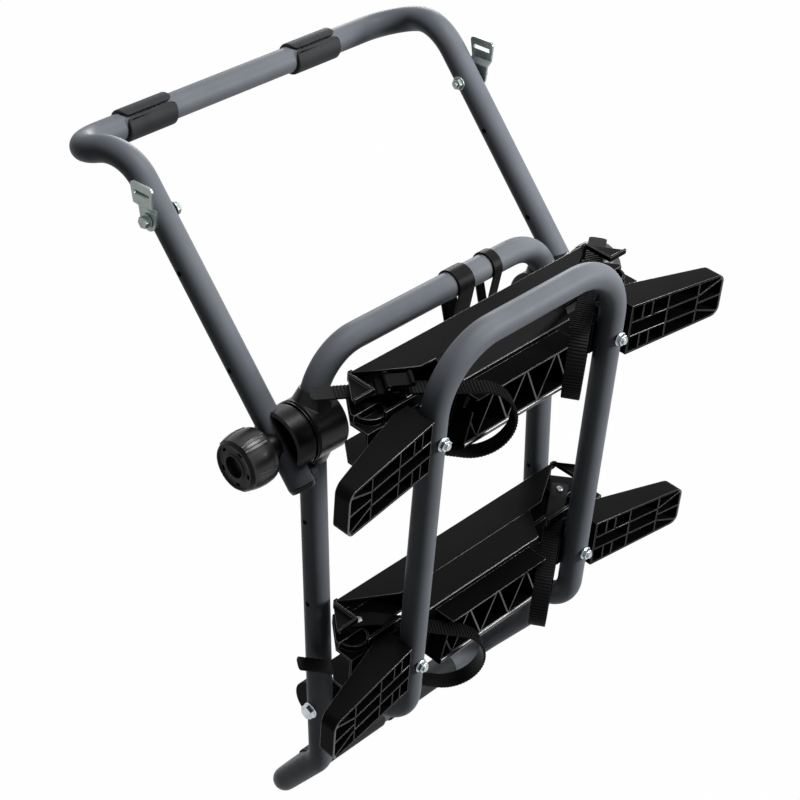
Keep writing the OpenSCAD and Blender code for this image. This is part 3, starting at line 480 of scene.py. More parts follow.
@dataclass
class ClampKnob:
    """A hand knob: a barrel with raised grip bars, a stepped face and a round recess.

    Attributes:
        start_mm: Distance of the knob's inner face from the middle plane.
        rings: Place along the axis and radius of each ring of the barrel, mm.
        bar_deg: Angle that a bar takes up.
        bar_turn: Angle of the first bar below the Y axis, in degrees.
        bar_span: Where the bars start and end along the axis, mm.
        groove_deg: Angle that the groove along each side of a bar takes up.
        groove_mm: Margin and depth of a groove.
        groove_from: Least distance of a groove from the axis, mm.
        face_steps: Inset and rise of each step of the face, from its rim to the recess, mm.
        slot_at: Distance of the face's slots from the axis, mm.
        slot_size: Size of a slot along, out from and round the axis, mm.
        barrel_from: Distance from the axis outside which a face is the barrel's and takes the painted sheen,
            mm.
    """

    side: Side
    start_mm: float = 278.0
    length_mm: float = 38.0
    rings: tuple[Pair, ...] = (
        (0, 31.6), (4, 32.8), (12, 33.7), (20, 33.5), (28, 32.2), (34, 30.4), (38, 28.0))
    steps: int = 90
    bars: int = 5
    bar_deg: float = 24.0
    bar_turn: float = 8.0
    bar_span: Pair = (3.0, 34.5)
    bar_mm: float = 0.9
    groove_deg: float = 4.2
    groove_mm: Pair = (0.35, 0.7)
    groove_from: float = 30.5
    face_steps: tuple[Pair, ...] = (
        (2.2, 0.0), (0.5, -1.6), (9.8, 0.0), (0.6, 1.2), (1.8, 0.0), (0.6, -7.0), (5.0, 0.0))
    slot_at: float = 22.0
    slot_size: Spot = (8.0, 3.4, 6.4)
    edge_mm: float = 0.35
    barrel_from: float = 26.0

    @property
    def node(self) -> str:
        """Name of the CAD node that the knob replaces."""
        return f"knob_{self.side.name.lower()}"

    def angle(self, point: Vector) -> float:
        """Returns a point's angle about the axis, in degrees from the nearest bar's middle."""
        turn = math.degrees(math.atan2(point.z, point.y)) + self.bar_turn
        pitch = 360.0 / self.bars
        return (turn + pitch / 2) % pitch - pitch / 2

    def barrel(self) -> Piece:
        """Makes the barrel about the X axis, with its face at the far end.

        Returns:
            The barrel.
        """
        length = self.length_mm * MM
        piece = add_mesh(bpy.ops.mesh.primitive_cylinder_add, vertices=self.steps, radius=1.0, depth=length,
                         rotation=(0, math.radians(90), 0), location=(length / 2, 0, 0))
        bpy.ops.object.mode_set(mode="EDIT")
        for place, _ in self.rings[1:-1]:
            bpy.ops.mesh.select_all(action="SELECT")
            bpy.ops.mesh.bisect(plane_co=(place * MM, 0, 0), plane_no=(1, 0, 0))
        close_edit()
        for vertex in piece.data.vertices:
            radius = min(self.rings, key=lambda ring: abs(ring[0] * MM - vertex.co.x))[1] * MM
            vertex.co.y *= radius
            vertex.co.z *= radius
        return piece

    def grips(self, piece: Piece) -> None:
        """Raises the grip bars and sinks a groove along each side of them.

        Args:
            piece: The barrel.
        """
        start, end = (place * MM for place in self.bar_span)
        half = self.bar_deg / 2
        groove = half - 360 / self.steps
        margin, depth = (size * MM for size in self.groove_mm)

        def on_side(face: bpy.types.MeshPolygon, slope: float) -> bool:
            """Says whether a face lies on the side, where the bars are."""
            return abs(face.normal.x) < slope and start < face.center.x < end

        def in_groove(face: bpy.types.MeshPolygon) -> bool:
            """Says whether a face becomes part of a groove."""
            return (on_side(face, 0.4) and groove - self.groove_deg < abs(self.angle(face.center)) < groove
                    and math.hypot(face.center.y, face.center.z) > self.groove_from * MM)

        edit(piece, "FACE", lambda face: on_side(face, 0.75) and abs(self.angle(face.center)) < half)
        bpy.ops.mesh.extrude_region_shrink_fatten(TRANSFORM_OT_shrink_fatten={"value": self.bar_mm * MM})
        close_edit()
        edit(piece, "FACE", in_groove)
        bpy.ops.mesh.inset(thickness=margin, depth=-depth)
        close_edit()

    def face(self, piece: Piece) -> None:
        """Steps the face down to its recess and cuts the slots round it.

        Args:
            piece: The barrel.
        """
        edit(piece, "FACE", lambda face: face.normal.x > 0.99 and len(face.vertices) > 20)
        for inset, rise in self.face_steps:
            bpy.ops.mesh.inset(thickness=inset * MM, depth=rise * MM)
        close_edit()
        slots: list[Piece] = []
        for bar in range(self.bars):
            turn = math.radians(bar * 360.0 / self.bars - self.bar_turn)
            spot = Vector((self.length_mm, self.slot_at * math.cos(turn), self.slot_at * math.sin(turn)))
            slots.append(add_mesh(bpy.ops.mesh.primitive_cube_add, size=1.0, location=spot * MM,
                                  rotation=(turn, 0, 0), scale=Vector(self.slot_size) * MM))
        combine(piece, slots, Operation.CUT)

    def build(self) -> None:
        """Models the knob and puts it on its axis."""
        piece = self.barrel()
        piece.name = "grip_" + self.node
        self.grips(piece)
        self.face(piece)
        ease(piece, self.edge_mm, 38)
        if self.side is Side.LEFT:
            piece.rotation_euler = (0, 0, math.radians(180))
        piece.location = Vector((self.side.value * self.start_mm, LEG_Y, HUB_Z)) * MM
        settle(piece)
        smooth(piece, 30)
        coat(piece, KNOB_NYLON)
        # The barrel's side faces take a lighter, shinier copy of the nylon: a painted sheen.
        place = add_finish(piece, KNOB_BARREL_PAINTED_SHEEN)
        for face in piece.data.polygons:
            off_axis = math.hypot(face.center.y - LEG_Y * MM, face.center.z - HUB_Z * MM)
            if off_axis > self.barrel_from * MM and abs(face.normal.x) < 0.5:
                face.material_index = place
        stand_in(piece, self.node)


@dataclass(frozen=True)
class Bar:
    """A round bar along a line, used as a hole, a peg or a drum, in mm. With an end radius it tapers."""

    start: Spot
    end: Spot
    radius: float
    steps: int = 32
    end_radius: float | None = None

    def build(self) -> Piece:
        """Makes the bar.

        Returns:
            The bar.
        """
        start, end = Vector(self.start) * MM, Vector(self.end) * MM
        span = end - start
        pose: dict[str, Any] = {"vertices": self.steps, "depth": span.length, "location": (start + end) / 2,
                                "rotation": span.to_track_quat("Z", "Y").to_euler()}
        if self.end_radius is None:
            return add_mesh(bpy.ops.mesh.primitive_cylinder_add, radius=self.radius * MM, **pose)
        return add_mesh(bpy.ops.mesh.primitive_cone_add, radius1=self.radius * MM,
                        radius2=self.end_radius * MM, **pose)


@dataclass
class BentTube:
    """A round tube swept along its path: straight runs are extruded and bends are spun.

    Attributes:
        path: Corners of the path, mm.
        bends: Bend radius at each corner, mm, 0 at an open end.
        place: Place of the path on the rack.
        closed: Whether the path comes back to its start.
        run_mm: Longest step along a straight run.
        bend_deg: Turn of one step of a bend.
    """

    node: str
    path: Sequence[Spot]
    bends: Sequence[float]
    place: Matrix = field(default_factory=lambda: Matrix.Identity(4))
    closed: bool = False
    holes: Sequence[Bar] = ()
    pegs: Sequence[Bar] = ()
    outer_mm: float = 15.97
    wall_mm: float = 2.0
    steps: int = 48
    run_mm: float = 12.0
    bend_deg: float = 3.0

    def run_to(self, here: Vector, there: Vector) -> None:
        """Extrudes the open ring along a straight run.

        Args:
            here: Middle of the ring.
            there: Where it goes.
        """
        span = there - here
        count = max(1, math.ceil(span.length / (self.run_mm * MM)))
        for _ in range(count):
            bpy.ops.mesh.extrude_region_move(TRANSFORM_OT_translate={"value": span / count})

    def sweep(self) -> Piece:
        """Sweeps a ring along the path.

        Returns:
            The skin of the tube, without its wall.
        """
        spots = [Vector(spot) * MM for spot in self.path]
        count = len(spots)
        begin = here = (spots[-1] + spots[0]) / 2 if self.closed else spots[0]
        corners = range(count) if self.closed else range(1, count - 1)
        first = (spots[corners[0]] - here).normalized()
        piece = add_mesh(bpy.ops.mesh.primitive_circle_add, vertices=self.steps, radius=self.outer_mm * MM,
                         location=here, rotation=first.to_track_quat("Z", "Y").to_euler())
        open_edit(piece, "EDGE", "SELECT")
        for i in corners:
            into = (spots[i] - spots[i - 1]).normalized()
            out = (spots[(i + 1) % count] - spots[i]).normalized()
            turn = into.angle(out)
            bend = self.bends[i] * MM
            back = bend * math.tan(turn / 2)
            inward = (out - into * into.dot(out)).normalized()
            self.run_to(here, spots[i] - into * back)
            # The spin turns against the right hand rule.
            bpy.ops.mesh.spin(steps=math.ceil(math.degrees(turn) / self.bend_deg), angle=-turn,
                              center=spots[i] - into * back + inward * bend,
                              axis=into.cross(out).normalized())
            here = spots[i] + out * back
        self.run_to(here, begin if self.closed else spots[-1])
        bpy.ops.mesh.select_all(action="SELECT")
        bpy.ops.mesh.remove_doubles(threshold=NEAR)
        bpy.ops.mesh.normals_make_consistent(inside=False)
        close_edit()
        side = piece.data.polygons[0]
        if side.normal.dot(side.center - begin - first * (side.center - begin).dot(first)) < 0:
            piece.data.flip_normals()
        return piece

    def build(self) -> None:
        """Sweeps the tube, gives it its wall, pegs and holes, and puts it in place."""
        piece = self.sweep()
        piece.name = "swept_" + self.node
        apply_modifier(piece, "SOLIDIFY", thickness=self.wall_mm * MM, offset=-1.0, use_even_offset=False)
        combine(piece, [peg.build() for peg in self.pegs], Operation.ADD)
        combine(piece, [hole.build() for hole in self.holes], Operation.CUT)
        piece.data.transform(self.place)
        smooth(piece, 30)
        coat(piece, POWDER_COAT)
        stand_in(piece, self.node)


def mirrored(half: Sequence[Spot]) -> list[Spot]:
    """Returns a path made of a right half and its mirror image, left end first."""
    return [(-x, y, z) for x, y, z in half] + list(reversed(half))


@dataclass
class Tubes:
    """The three bent tubes of the rack, by the corners of their right halves, in mm.

    Attributes:
        main_half: Corners of the main tube's foot.
        upper_half: Corners of the upper tube, from the hubs.
        platform_half: Corners of the platform's tube, from its pivots.
        main_holes: Height and radius of each pair of holes in the main legs.
        upper_holes: The same in the upper legs.
        reach: Length of those holes to each side.
        peg: Inner end, outer end, height and radius of a stop peg.
        bolt_hole: Reach and radius of a hole for a tray's bolt.
    """

    main_half: tuple[Spot, ...] = ((LEG_X, LEG_Y, 115.0), (LEG_X, 0.0, 0.0))
    upper_half: tuple[Spot, ...] = (
        (248.4, 0.0, -54.0), (248.4, 0.0, 365.0),
        (269.0, 102.0 * math.sin(math.radians(HOOK_LEAN)), 365.0 + 102.0 * math.cos(math.radians(HOOK_LEAN))))
    platform_half: tuple[Spot, ...] = (
        (151.4, -26.0, 18.0), (151.4, PLATFORM_Y, 18.0), (151.4, PLATFORM_Y, 565.0))
    main_holes: tuple[Pair, ...] = ((HUB_Z, 5.2), (PIVOT_Z, 5.2), (373.0, 3.5), (495.0, 3.5))
    upper_holes: tuple[Pair, ...] = ((0.0, 5.3), (282.0, 4.2), (95.0, 3.5), (215.0, 3.5))
    reach: float = 280.0
    peg: tuple[float, float, float, float] = (224.4, 233.4, -46.0, 8.0)
    bolt_hole: Pair = (32.0, 4.2)

    def across(self, y: float, holes: Sequence[Pair]) -> list[Bar]:
        """Returns the holes along X through both legs, by their height and radius."""
        return [Bar((-self.reach, y, height), (self.reach, y, height), radius) for height, radius in holes]

    def main(self) -> BentTube:
        """Returns the closed main tube."""
        path = mirrored(self.main_half) + [(LEG_X, LEG_Y, TOP_Z), (-LEG_X, LEG_Y, TOP_Z)]
        return BentTube("main_tube", path, bends=(50, 50, 50, 50, TOP_BEND, TOP_BEND), closed=True,
                        holes=self.across(LEG_Y, self.main_holes))

    def upper(self) -> BentTube:
        """Lays out the upper frame's tube with its stop pegs.

        Returns:
            The tube.
        """
        inner, outer, height, radius = self.peg
        pegs = [Bar((side.value * inner, 0, height), (side.value * outer, 0, height), radius) for side in Side]
        return BentTube("upper_tube", mirrored(self.upper_half), bends=(0, 62, 47, 47, 62, 0), place=ON_UPPER,
                        pegs=pegs, holes=self.across(0, self.upper_holes))

    def platform(self) -> BentTube:
        """Lays out the platform's tube with the holes for the trays' bolts.

        Returns:
            The tube.
        """
        reach, radius = self.bolt_hole
        legs = [side.value * self.platform_half[0][0] for side in Side]
        holes = [Bar((leg, PLATFORM_Y - reach, tray.value), (leg, PLATFORM_Y + reach, tray.value), radius)
                 for leg in legs for tray in Tray]
        return BentTube("platform_tube", mirrored(self.platform_half), bends=(0, 48, 82, 82, 48, 0),
                        place=ON_PLATFORM, holes=holes)


@dataclass
class InnerHub:
    """The clamp's inner half: a drum with two thin rings, and necks that taper up and down the leg.

    Attributes:
        drum: Radius, start and end along X of the drum, mm.
        step: The same of the step before the drum.
        rings: The same of the two thin rings.
        bolt: The same of the bolt's hole.
        necks: Foot and tip of each neck, beside and up from the clamp's middle, and the radius at each, mm.
        bore_mm: Radius of the hole for the leg.
        bore_start: Start of that hole below the clamp's axis, mm.
        drum_edge: Width of the drum's rounded edges, mm.
        steps: Faces round the drum, and round a neck.
    """

    side: Side
    drum: Spot = (37.6, 176.0, 221.0)
    step: Spot = (35.0, 220.0, 225.6)
    rings: tuple[Spot, ...] = ((38.0, 218.4, 219.7), (38.0, 223.2, 224.5))
    bolt: Spot = (5.2, 150.0, 240.0)
    necks: tuple[tuple[Pair, Pair, float, float], ...] = (
        ((0.0, 16.0), (-6.2, 45.5), 30.0, 17.6), ((0.0, -20.0), (0.0, -44.0), 28.0, 17.6))
    bore_mm: float = 16.1
    bore_start: float = 90.0
    drum_edge: float = 2.4
    edge_mm: float = 0.5
    steps: tuple[int, int] = (96, 64)

    @property
    def node(self) -> str:
        """Name of the CAD node that the hub replaces."""
        return f"inner_hub_{self.side.name.lower()}"

    def spot(self, x: float, up: float = 0.0) -> Spot:
        """Returns a point at a distance from the middle plane, up from the clamp's axis."""
        return (self.side.value * x, LEG_Y, HUB_Z + up)

    def bar(self, radius: float, start: float, end: float) -> Piece:
        """Makes a round bar along the clamp's axis."""
        return Bar(self.spot(start), self.spot(end), radius, self.steps[0]).build()

    def neck(self, foot: Pair, tip: Pair, wide: float, slim: float) -> Piece:
        """Makes one tapered neck along the leg, from its foot to its tip."""
        start, end = (self.spot(LEG_X + aside, up) for aside, up in (foot, tip))
        return Bar(start, end, wide, self.steps[1], slim).build()

    def bore(self) -> Piece:
        """Makes a bar in the shape of the leg, for the hole that the leg goes through.

        Returns:
            The bar.
        """
        up = TOP_Z - HUB_Z
        path = [self.spot(LEG_X, -self.bore_start), self.spot(LEG_X, up), self.spot(0, up)]
        piece = BentTube(self.node, path, (0, TOP_BEND, 0), outer_mm=self.bore_mm).sweep()
        close_ends(piece)
        return piece

    def build(self) -> None:
        """Joins the drum, rings and necks, and cuts the holes for the leg and the bolt."""
        piece = self.bar(*self.drum)
        piece.name = "turned_" + self.node
        ease(piece, self.drum_edge, 60, segments=4)
        added = [self.bar(*sizes) for sizes in (self.step, *self.rings)]
        combine(piece, added + [self.neck(*sizes) for sizes in self.necks], Operation.ADD)
        combine(piece, [self.bore(), self.bar(*self.bolt)], Operation.CUT)
        ease(piece, self.edge_mm, 50)
        smooth(piece, 30)
        coat(piece, HUB_NYLON)
        stand_in(piece, self.node)


@dataclass(frozen=True)
class Box:
    """A box on a tray's left end, by its middle and size in mm, turned about the tray's height."""

    middle: Spot
    size: Spot
    turn_deg: float = 0.0

    def build(self, tray: Tray, side: Side) -> Piece:
        """Makes the box on one end of a tray.

        Args:
            tray: The tray.
            side: Its end, where the right one mirrors the left.

        Returns:
            The box.
        """
        x, y, z = (value * MM for value in self.middle)
        flip = -side.value
        piece = add_mesh(bpy.ops.mesh.primitive_cube_add, size=1.0, location=(x * flip, y, z),
                         scale=Vector(self.size) * MM, rotation=(0, 0, math.radians(self.turn_deg) * flip))
        piece.data.transform(tray.place())
        return piece


# What is cut off each end of a tray: the slanting back corner, and the top of the strap's pocket.
BACK_CORNER = Box((-236.4, 88.8, 20), (120, 60, 300), 51.3)
POCKET_TOP = Box((-172, 67, 78), (124, 60, 32))
# The wall under each strap, which a tray has and its ends don't.
STRAP_WALL = Box((-162, 28, 33.5), (76, 4, 19))


@dataclass
class TrayNode(RoundedNode):
    """A tray, or a tray's end, with slanting back corners, low pockets, and highlights painted on its ribs.

    Its flat faces aren't joined, because a flat face with pockets in it can't be one polygon.

    Attributes:
        ends: The ends that are shaped: both of a tray, or the one that the node is.
        cuts: What is cut off each end.
        walls: What is added to each end.
        lip_mm: Height of the round front lip in the tray's frame, and its radius; the lip gets a painted
            highlight.
        rib_mm: Depth behind an end's front within which a face is the top of a rib, which gets a painted
            highlight.
    """

    finish: Finish = TRAY_MOULDING
    edge_mm: float = 0.6
    joined: bool = False
    edge_finish: Finish | None = MOULDING_EDGE_HIGHLIGHT
    tray: Tray = Tray.UPPER
    ends: tuple[Side, ...] = tuple(Side)
    cuts: tuple[Box, ...] = (BACK_CORNER, POCKET_TOP)
    walls: tuple[Box, ...] = ()
    lip_mm: Pair = (-40.0, 4.0)
    rib_mm: float = 1.0

    def shape(self, piece: Piece) -> None:
        """Adds the walls and cuts the corners.

        Args:
            piece: The copy of the node.
        """
        for side in self.ends:
            combine(piece, [wall.build(self.tray, side) for wall in self.walls], Operation.ADD)
            combine(piece, [cut.build(self.tray, side) for cut in self.cuts], Operation.CUT)

    def polish(self, piece: Piece, place: int) -> None:
        """Paints highlights on the rib tops, and on the round front lip of a tray, in the lighter, shinier
        edge finish.

        Args:
            piece: The eased copy of the node.
            place: Place of the finish that paints the highlight.
        """
        to_tray = self.tray.place().inverted()
        turn = to_tray.to_3x3()
        whole = len(self.ends) > 1
        # A tray's ribs stand before the plane of the platform's legs, an end's reach its own front.
        nearest = min((to_tray @ vertex.co).y for vertex in piece.data.vertices)
        front = 0.0 if whole else nearest + self.rib_mm * MM
        height, radius = self.lip_mm
        # Rib tops, and a tray's round lip, take the lighter, shinier finish as a painted highlight.
        for face in piece.data.polygons:
            middle, normal = to_tray @ face.center, turn @ face.normal
            rib_top = normal.y < -0.9 and middle.y < front
            on_lip = abs(middle.z / MM - height) < radius and normal.y < -0.25 and abs(normal.x) < 0.1
            if rib_top or whole and on_lip:
                face.material_index = place


@dataclass(frozen=True)
class Route:
    """A strap's route in its own plane, from its tip round the loop to its rivet.

    Attributes:
        tip: Distance from the loop's front, and height, of the tip, mm.
        heading: Heading at the tip, degrees.
        runs: Length in mm and turn in degrees of each run.
        flip: -1 where the plane is upside down on the tray.
    """

    tip: Pair
    heading: float
    runs: tuple[Pair, ...]
    flip: float = 1.0
    step_mm: float = 1.5

    @property
    def length_mm(self) -> float:
        """Length of the strap."""
        return sum(length for length, _ in self.runs)

    def points(self) -> list[Pair]:
        """Follows the runs in short steps.

        Returns:
            Points as distance and height, in mm.
        """
        (far, high), heading = self.tip, self.heading
        points = [(far, high)]
        for length, turn in self.runs:
            steps = max(2, round(length / self.step_mm))
            for _ in range(steps):
                heading += turn / steps / 2
                far += length / steps * math.cos(math.radians(heading))
                high += length / steps * math.sin(math.radians(heading))
                heading += turn / steps / 2
                points.append((far, high))
        return points


ROUTES: dict[Tray, Route] = {
    Tray.UPPER: Route((-235.0, 45.3), 0.0, (
        (95, 0), (15, -4), (80, 0), (45 * math.radians(190), -190), (78, 0), (15, 14), (24, 0))),
    Tray.LOWER: Route((-235.0, 22.3), 17.0, ((182, 0), (42.7 * math.pi, -180), (106, 0), (15, -17), (24, 0)),
                      flip=-1.0),
}


@dataclass
class WheelStrap:
    """A toothed strap: a flat band with rounded ends and cross teeth, bent along its route.

    Attributes:
        tip_mm: Plain length at the free end.
        plain_mm: Plain length at the riveted end.
        corners: Corner radius at the tip and at the riveted end, mm.
        sink_mm: Depth of a tooth in the band.
        tooth_share: Part of the pitch that a tooth takes up.
        tooth_edge: Width of a tooth's rounded edges, mm.
        margin_mm: How much narrower the teeth are than the band.
        turn_deg: Turn of the strap's plane about the platform's length.
        loop_mm: Place of the loop's front beside the middle, and before the legs.
    """

    tray: Tray
    side: Side
    width_mm: float = 22.0
    thick_mm: float = 2.0
    tip_mm: float = 26.0
    plain_mm: float = 60.0
    corners: Pair = (7.0, 10.0)
    pitch_mm: float = 4.0
    tooth_mm: float = 1.0
    sink_mm: float = 0.3
    tooth_share: float = 0.56
    tooth_edge: float = 0.42
    margin_mm: float = 0.4
    step_mm: float = 3.0
    turn_deg: float = 34.0
    loop_mm: Pair = (47.0, 32.0)

    @property
    def node(self) -> str:
        """Name of the CAD node that the strap replaces."""
        return f"strap_{self.tray.name.lower()}_{self.side.name.lower()}"

    @property
    def route(self) -> Route:
        """The strap's route."""
        return ROUTES[self.tray]

    def band(self) -> Piece:
        """Makes the straight band.

        Returns:
            The band, along X from 0.
        """
        count = round(self.route.length_mm / self.step_mm)
        step = self.route.length_mm * MM / count
        piece = add_mesh(bpy.ops.mesh.primitive_cube_add, size=1.0, location=(step / 2, 0, 0),
                         scale=(step, self.thick_mm * MM, self.width_mm * MM))
        edit(piece, "FACE", lambda face: abs(face.normal.x) > 0.9)
        bpy.ops.mesh.delete(type="ONLY_FACE")
        close_edit()
        apply_modifier(piece, "ARRAY", count=count, relative_offset_displace=(1, 0, 0),
                       use_merge_vertices=True, merge_threshold=NEAR)
        close_ends(piece)
        return piece

    def round_end(self, piece: Piece, place_mm: float, radius_mm: float) -> None:
        """Rounds the two corners of one end of the band.

        Args:
            piece: The band.
            place_mm: Where the end is along X.
            radius_mm: Corner radius.
        """
        edit(piece, "EDGE", lambda ends: all(abs(end.x - place_mm * MM) < NEAR for end in ends)
             and abs(ends[0].z - ends[1].z) < NEAR)
        bpy.ops.mesh.bevel(offset=radius_mm * MM, segments=6, affect="EDGES", clamp_overlap=False)
        close_edit()

    def teeth(self) -> Piece:
        """Makes the row of teeth on the band's outer face.

        Returns:
            The teeth.
        """
        count = math.floor((self.route.length_mm - self.tip_mm - self.plain_mm) / self.pitch_mm)
        long = self.pitch_mm * self.tooth_share
        high = self.tooth_mm + self.sink_mm
        face = self.thick_mm / 2
        piece = add_mesh(bpy.ops.mesh.primitive_cube_add, size=1.0,
                         scale=Vector((long, high, self.width_mm - self.margin_mm)) * MM,
                         location=Vector((self.tip_mm + long / 2, face + self.tooth_mm - high / 2, 0)) * MM)
        edit(piece, "EDGE", lambda ends: all(end.y > (face + self.tooth_mm / 2) * MM for end in ends))
        bpy.ops.mesh.bevel(offset=self.tooth_edge * MM, segments=2, affect="EDGES")
        close_edit()
        apply_modifier(piece, "ARRAY", count=count, use_relative_offset=False, use_constant_offset=True,
                       constant_offset_displace=(self.pitch_mm * MM, 0, 0))
        return piece

    def bend(self, piece: Piece) -> None:
        """Bends the straight strap along its route.

        Args:
            piece: The strap.
        """
        points = self.route.points()
        curve = bpy.data.curves.new("route", "CURVE")
        curve.dimensions = "2D"
        spline = curve.splines.new("POLY")
        spline.points.add(len(points) - 1)
        for spot, (far, high) in zip(spline.points, points):
            spot.co = (far * MM, high * MM, 0, 1)
        guide = bpy.data.objects.new("route", curve)
        bpy.context.scene.collection.objects.link(guide)
        apply_modifier(piece, "CURVE", object=guide, deform_axis="POS_X")
        bpy.data.objects.remove(guide)

    def place(self) -> Matrix:
        """Gives the strap's place on the rack.

        Returns:
            The matrix from the route's plane to the rack.
        """
        upright = Matrix(((1, 0, 0, 0), (0, 0, -1, 0), (0, self.route.flip, 0, 0), (0, 0, 0, 1)))
        beside, before = (value * MM for value in self.loop_mm)
        turn = Matrix.Rotation(math.radians(-self.turn_deg), 4, "Z")
        on_tray = Matrix.Translation((-beside, -before, 0)) @ turn
        if self.side is Side.RIGHT:
            on_tray = Matrix.Scale(-1, 4, (1, 0, 0)) @ on_tray
        return self.tray.place() @ on_tray @ upright

    def build(self) -> None:
        """Models the strap, bends it and puts it on its tray."""
        piece = self.band()
        piece.name = "toothed_" + self.node
        for place_mm, radius_mm in zip((0.0, self.route.length_mm), self.corners):
            self.round_end(piece, place_mm, radius_mm)
        teeth = self.teeth()
        select_only(piece)
        teeth.select_set(True)
        bpy.ops.object.join()
        self.bend(piece)
        place = self.place()
        piece.data.transform(place)
        if place.determinant() < 0:
            piece.data.flip_normals()
        smooth(piece, 34)
        coat(piece, STRAP_RUBBER)
        stand_in(piece, self.node)


@dataclass(frozen=True)
class Lamp:
    """A square soft lamp, by its name, position, side in metres and power."""

    name: str
    place: Spot
    size: float
    watts: float

    def build(self, aim: Spot) -> None:
        """Adds the lamp, turned to a point.

        Args:
            aim: The point.
        """
        data = bpy.data.lights.new(self.name, "AREA")
        data.size = self.size
        data.energy = self.watts
        piece = bpy.data.objects.new(self.name, data)
        bpy.context.scene.collection.objects.link(piece)
        piece.location = self.place
        piece.rotation_euler = (Vector(aim) - Vector(self.place)).to_track_quat("-Z", "Y").to_euler()


@dataclass
class Studio:
    """Camera, light and floor, in metres, degrees and, for lens and sensor, mm.

    Attributes:
        fill: Strength of the surround as a light.
        floor_grey: Brightness of the floor's paper, which takes the shadow.
        floor_share: Share of plain white in what is seen of the floor.
    """

    camera_at: Spot = (-1.4417, -1.4459, 1.8726)
    azimuth: float = -45.705
    elevation: float = 33.563
    lens: float = 88.93
    sensor: float = 36.0
    fill: float = 0.03
    floor_z: float = -0.0186
    floor_size: float = 14.0
    floor_grey: float = 0.2
    floor_share: float = 0.99
    aim: Spot = (0.0, -0.05, 0.45)
    lamps: tuple[Lamp, ...] = (
        Lamp("right_softbox", (1.55, -2.0, 1.35), 0.8, 72), Lamp("top_softbox", (0.55, -0.45, 2.9), 1.0, 58),
        Lamp("back_softbox", (2.1, 1.9, 1.3), 1.0, 42))

    def camera(self) -> None:
        """Makes the camera at the photograph's viewing angle."""
        data = bpy.data.cameras.new("camera")
        data.lens = self.lens
        data.sensor_width = self.sensor
        piece = bpy.data.objects.new("camera", data)
        bpy.context.scene.collection.objects.link(piece)
        piece.location = self.camera_at
        piece.rotation_euler = (math.radians(90 - self.elevation), 0, math.radians(self.azimuth))
        bpy.context.scene.camera = piece

    def seen(self, tree: bpy.types.NodeTree) -> bpy.types.NodeSocket:
        """Adds a value that is 1 for rays that look at the background.

        Args:
            tree: The node tree.

        Returns:
            The output socket.
        """
        path = add_node(tree, "LightPath")
        first = add_node(tree, "Math", {0: path.outputs["Is Camera Ray"], 1: path.outputs["Is Glossy Ray"]},
                         operation="MAXIMUM")
        return add_node(tree, "Math", {0: first.outputs[0], 1: path.outputs["Is Transmission Ray"]},
                        operation="MAXIMUM").outputs[0]

    def world(self) -> None:
        """Makes a white surround that lights softly."""
        world = bpy.data.worlds.new("studio")
        bpy.context.scene.world = world
        tree = empty_tree(world)
        strength = add_node(tree, "MapRange", {"Value": self.seen(tree), "To Min": self.fill, "To Max": 1.0})
        sky = add_node(tree, "Background", {"Color": (1, 1, 1, 1), "Strength": strength.outputs["Result"]})
        add_node(tree, "OutputWorld", {"Surface": sky.outputs["Background"]})

    def floor(self) -> None:
        """Makes a pale floor that keeps a faint shadow."""
        piece = add_mesh(bpy.ops.mesh.primitive_plane_add, size=self.floor_size, location=(0, 0, self.floor_z))
        piece.name = "floor"
        material = bpy.data.materials.new("pale_floor")
        tree = empty_tree(material)
        share = add_node(tree, "Math", {0: self.seen(tree), 1: self.floor_share}, operation="MULTIPLY")
        paper = add_node(tree, "BsdfDiffuse", {"Color": (*[self.floor_grey] * 3, 1)})
        glow = add_node(tree, "Emission", {"Color": (1, 1, 1, 1), "Strength": 1.0})
        both = add_node(tree, "MixShader", {0: share.outputs[0], 1: paper.outputs[0], 2: glow.outputs[0]})
        add_node(tree, "OutputMaterial", {"Surface": both.outputs[0]})
        piece.data.materials.append(material)

    def build(self) -> None:
        """Sets the scene round the object."""
        bpy.context.scene.view_settings.view_transform = "Standard"
        self.camera()
        self.world()
        self.floor()
        for lamp in self.lamps:
            lamp.build(self.aim)


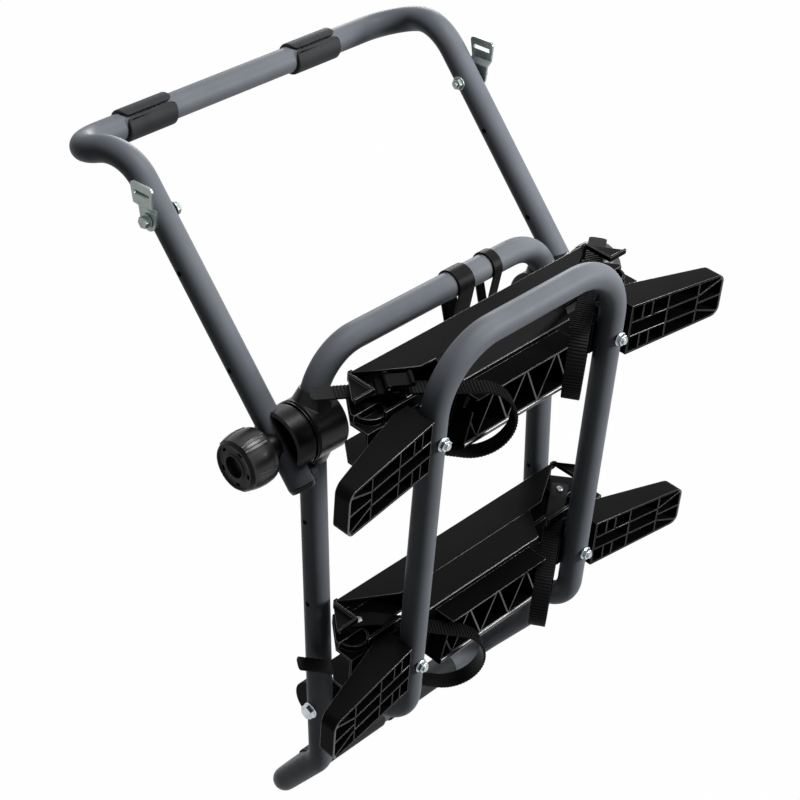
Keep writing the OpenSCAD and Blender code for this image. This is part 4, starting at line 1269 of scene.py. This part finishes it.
@dataclass
class Rack:
    """The whole rack: which nodes are modelled anew, how the others are eased, and their finishes.

    Attributes:
        small_edge: Width of the eased edges of rivets, pins and screws, mm.
        rubber_edge: The same of sleeves and pads.
        plug_edge: The same of the tube plugs.
    """

    small_edge: float = 0.25
    rubber_edge: float = 0.9
    plug_edge: float = 1.6

    def finish_of(self, node: str) -> Finish:
        """Gives the finish of a node.

        Args:
            node: The node's name.

        Returns:
            Its finish.
        """
        if node == "tube_end_plugs" or SLOTS[node] is Slot.MOULDED and ("hub" in node or "collar" in node):
            return HUB_NYLON
        if node.startswith(("strap_bracket", "bracket_")):
            return ZINC_SHEET
        return FINISHES[SLOTS[node]]

    def eased(self, node: str) -> RoundedNode:
        """Says how a node is eased.

        Args:
            node: The node's name.

        Returns:
            The eased node, not built yet.
        """
        finish = self.finish_of(node)
        if node in ("upper_tray", "lower_tray"):
            return TrayNode(node, tray=Tray[node.split("_")[0].upper()], walls=(STRAP_WALL,))
        if node in ("strap_rivets", "buckle_pins", "tray_end_screws"):
            return RoundedNode(node, finish, self.small_edge)
        if node.startswith("tray_end_"):
            tray, side = node.upper().split("_")[2:]
            return TrayNode(node, tray=Tray[tray], ends=(Side[side],))
        if node == "tube_end_plugs":
            return RoundedNode(node, finish, self.plug_edge, segments=4)
        if SLOTS[node] is Slot.RUBBER:
            return RoundedNode(node, finish, self.rubber_edge)
        return RoundedNode(node, finish, joined=not node.startswith("pivot_bolt"))

    def build(self) -> None:
        """Models the tubes, clamps and straps, and eases the other nodes."""
        tubes = Tubes()
        modelled: list[BentTube | ClampKnob | InnerHub | WheelStrap]
        modelled = [tubes.main(), tubes.upper(), tubes.platform()]
        for side in Side:
            modelled += [ClampKnob(side), InnerHub(side)]
            modelled += [WheelStrap(tray, side) for tray in Tray]
        for piece in modelled:
            piece.build()
        for node in sorted(set(frame["nodes"]) - {piece.node for piece in modelled}):
            self.eased(node).build()


def main() -> None:
    """Builds the studio and the rack in order."""
    logging.basicConfig(level=logging.INFO)
    Studio().build()
    Rack().build()


if __name__ == "__main__":
    main()
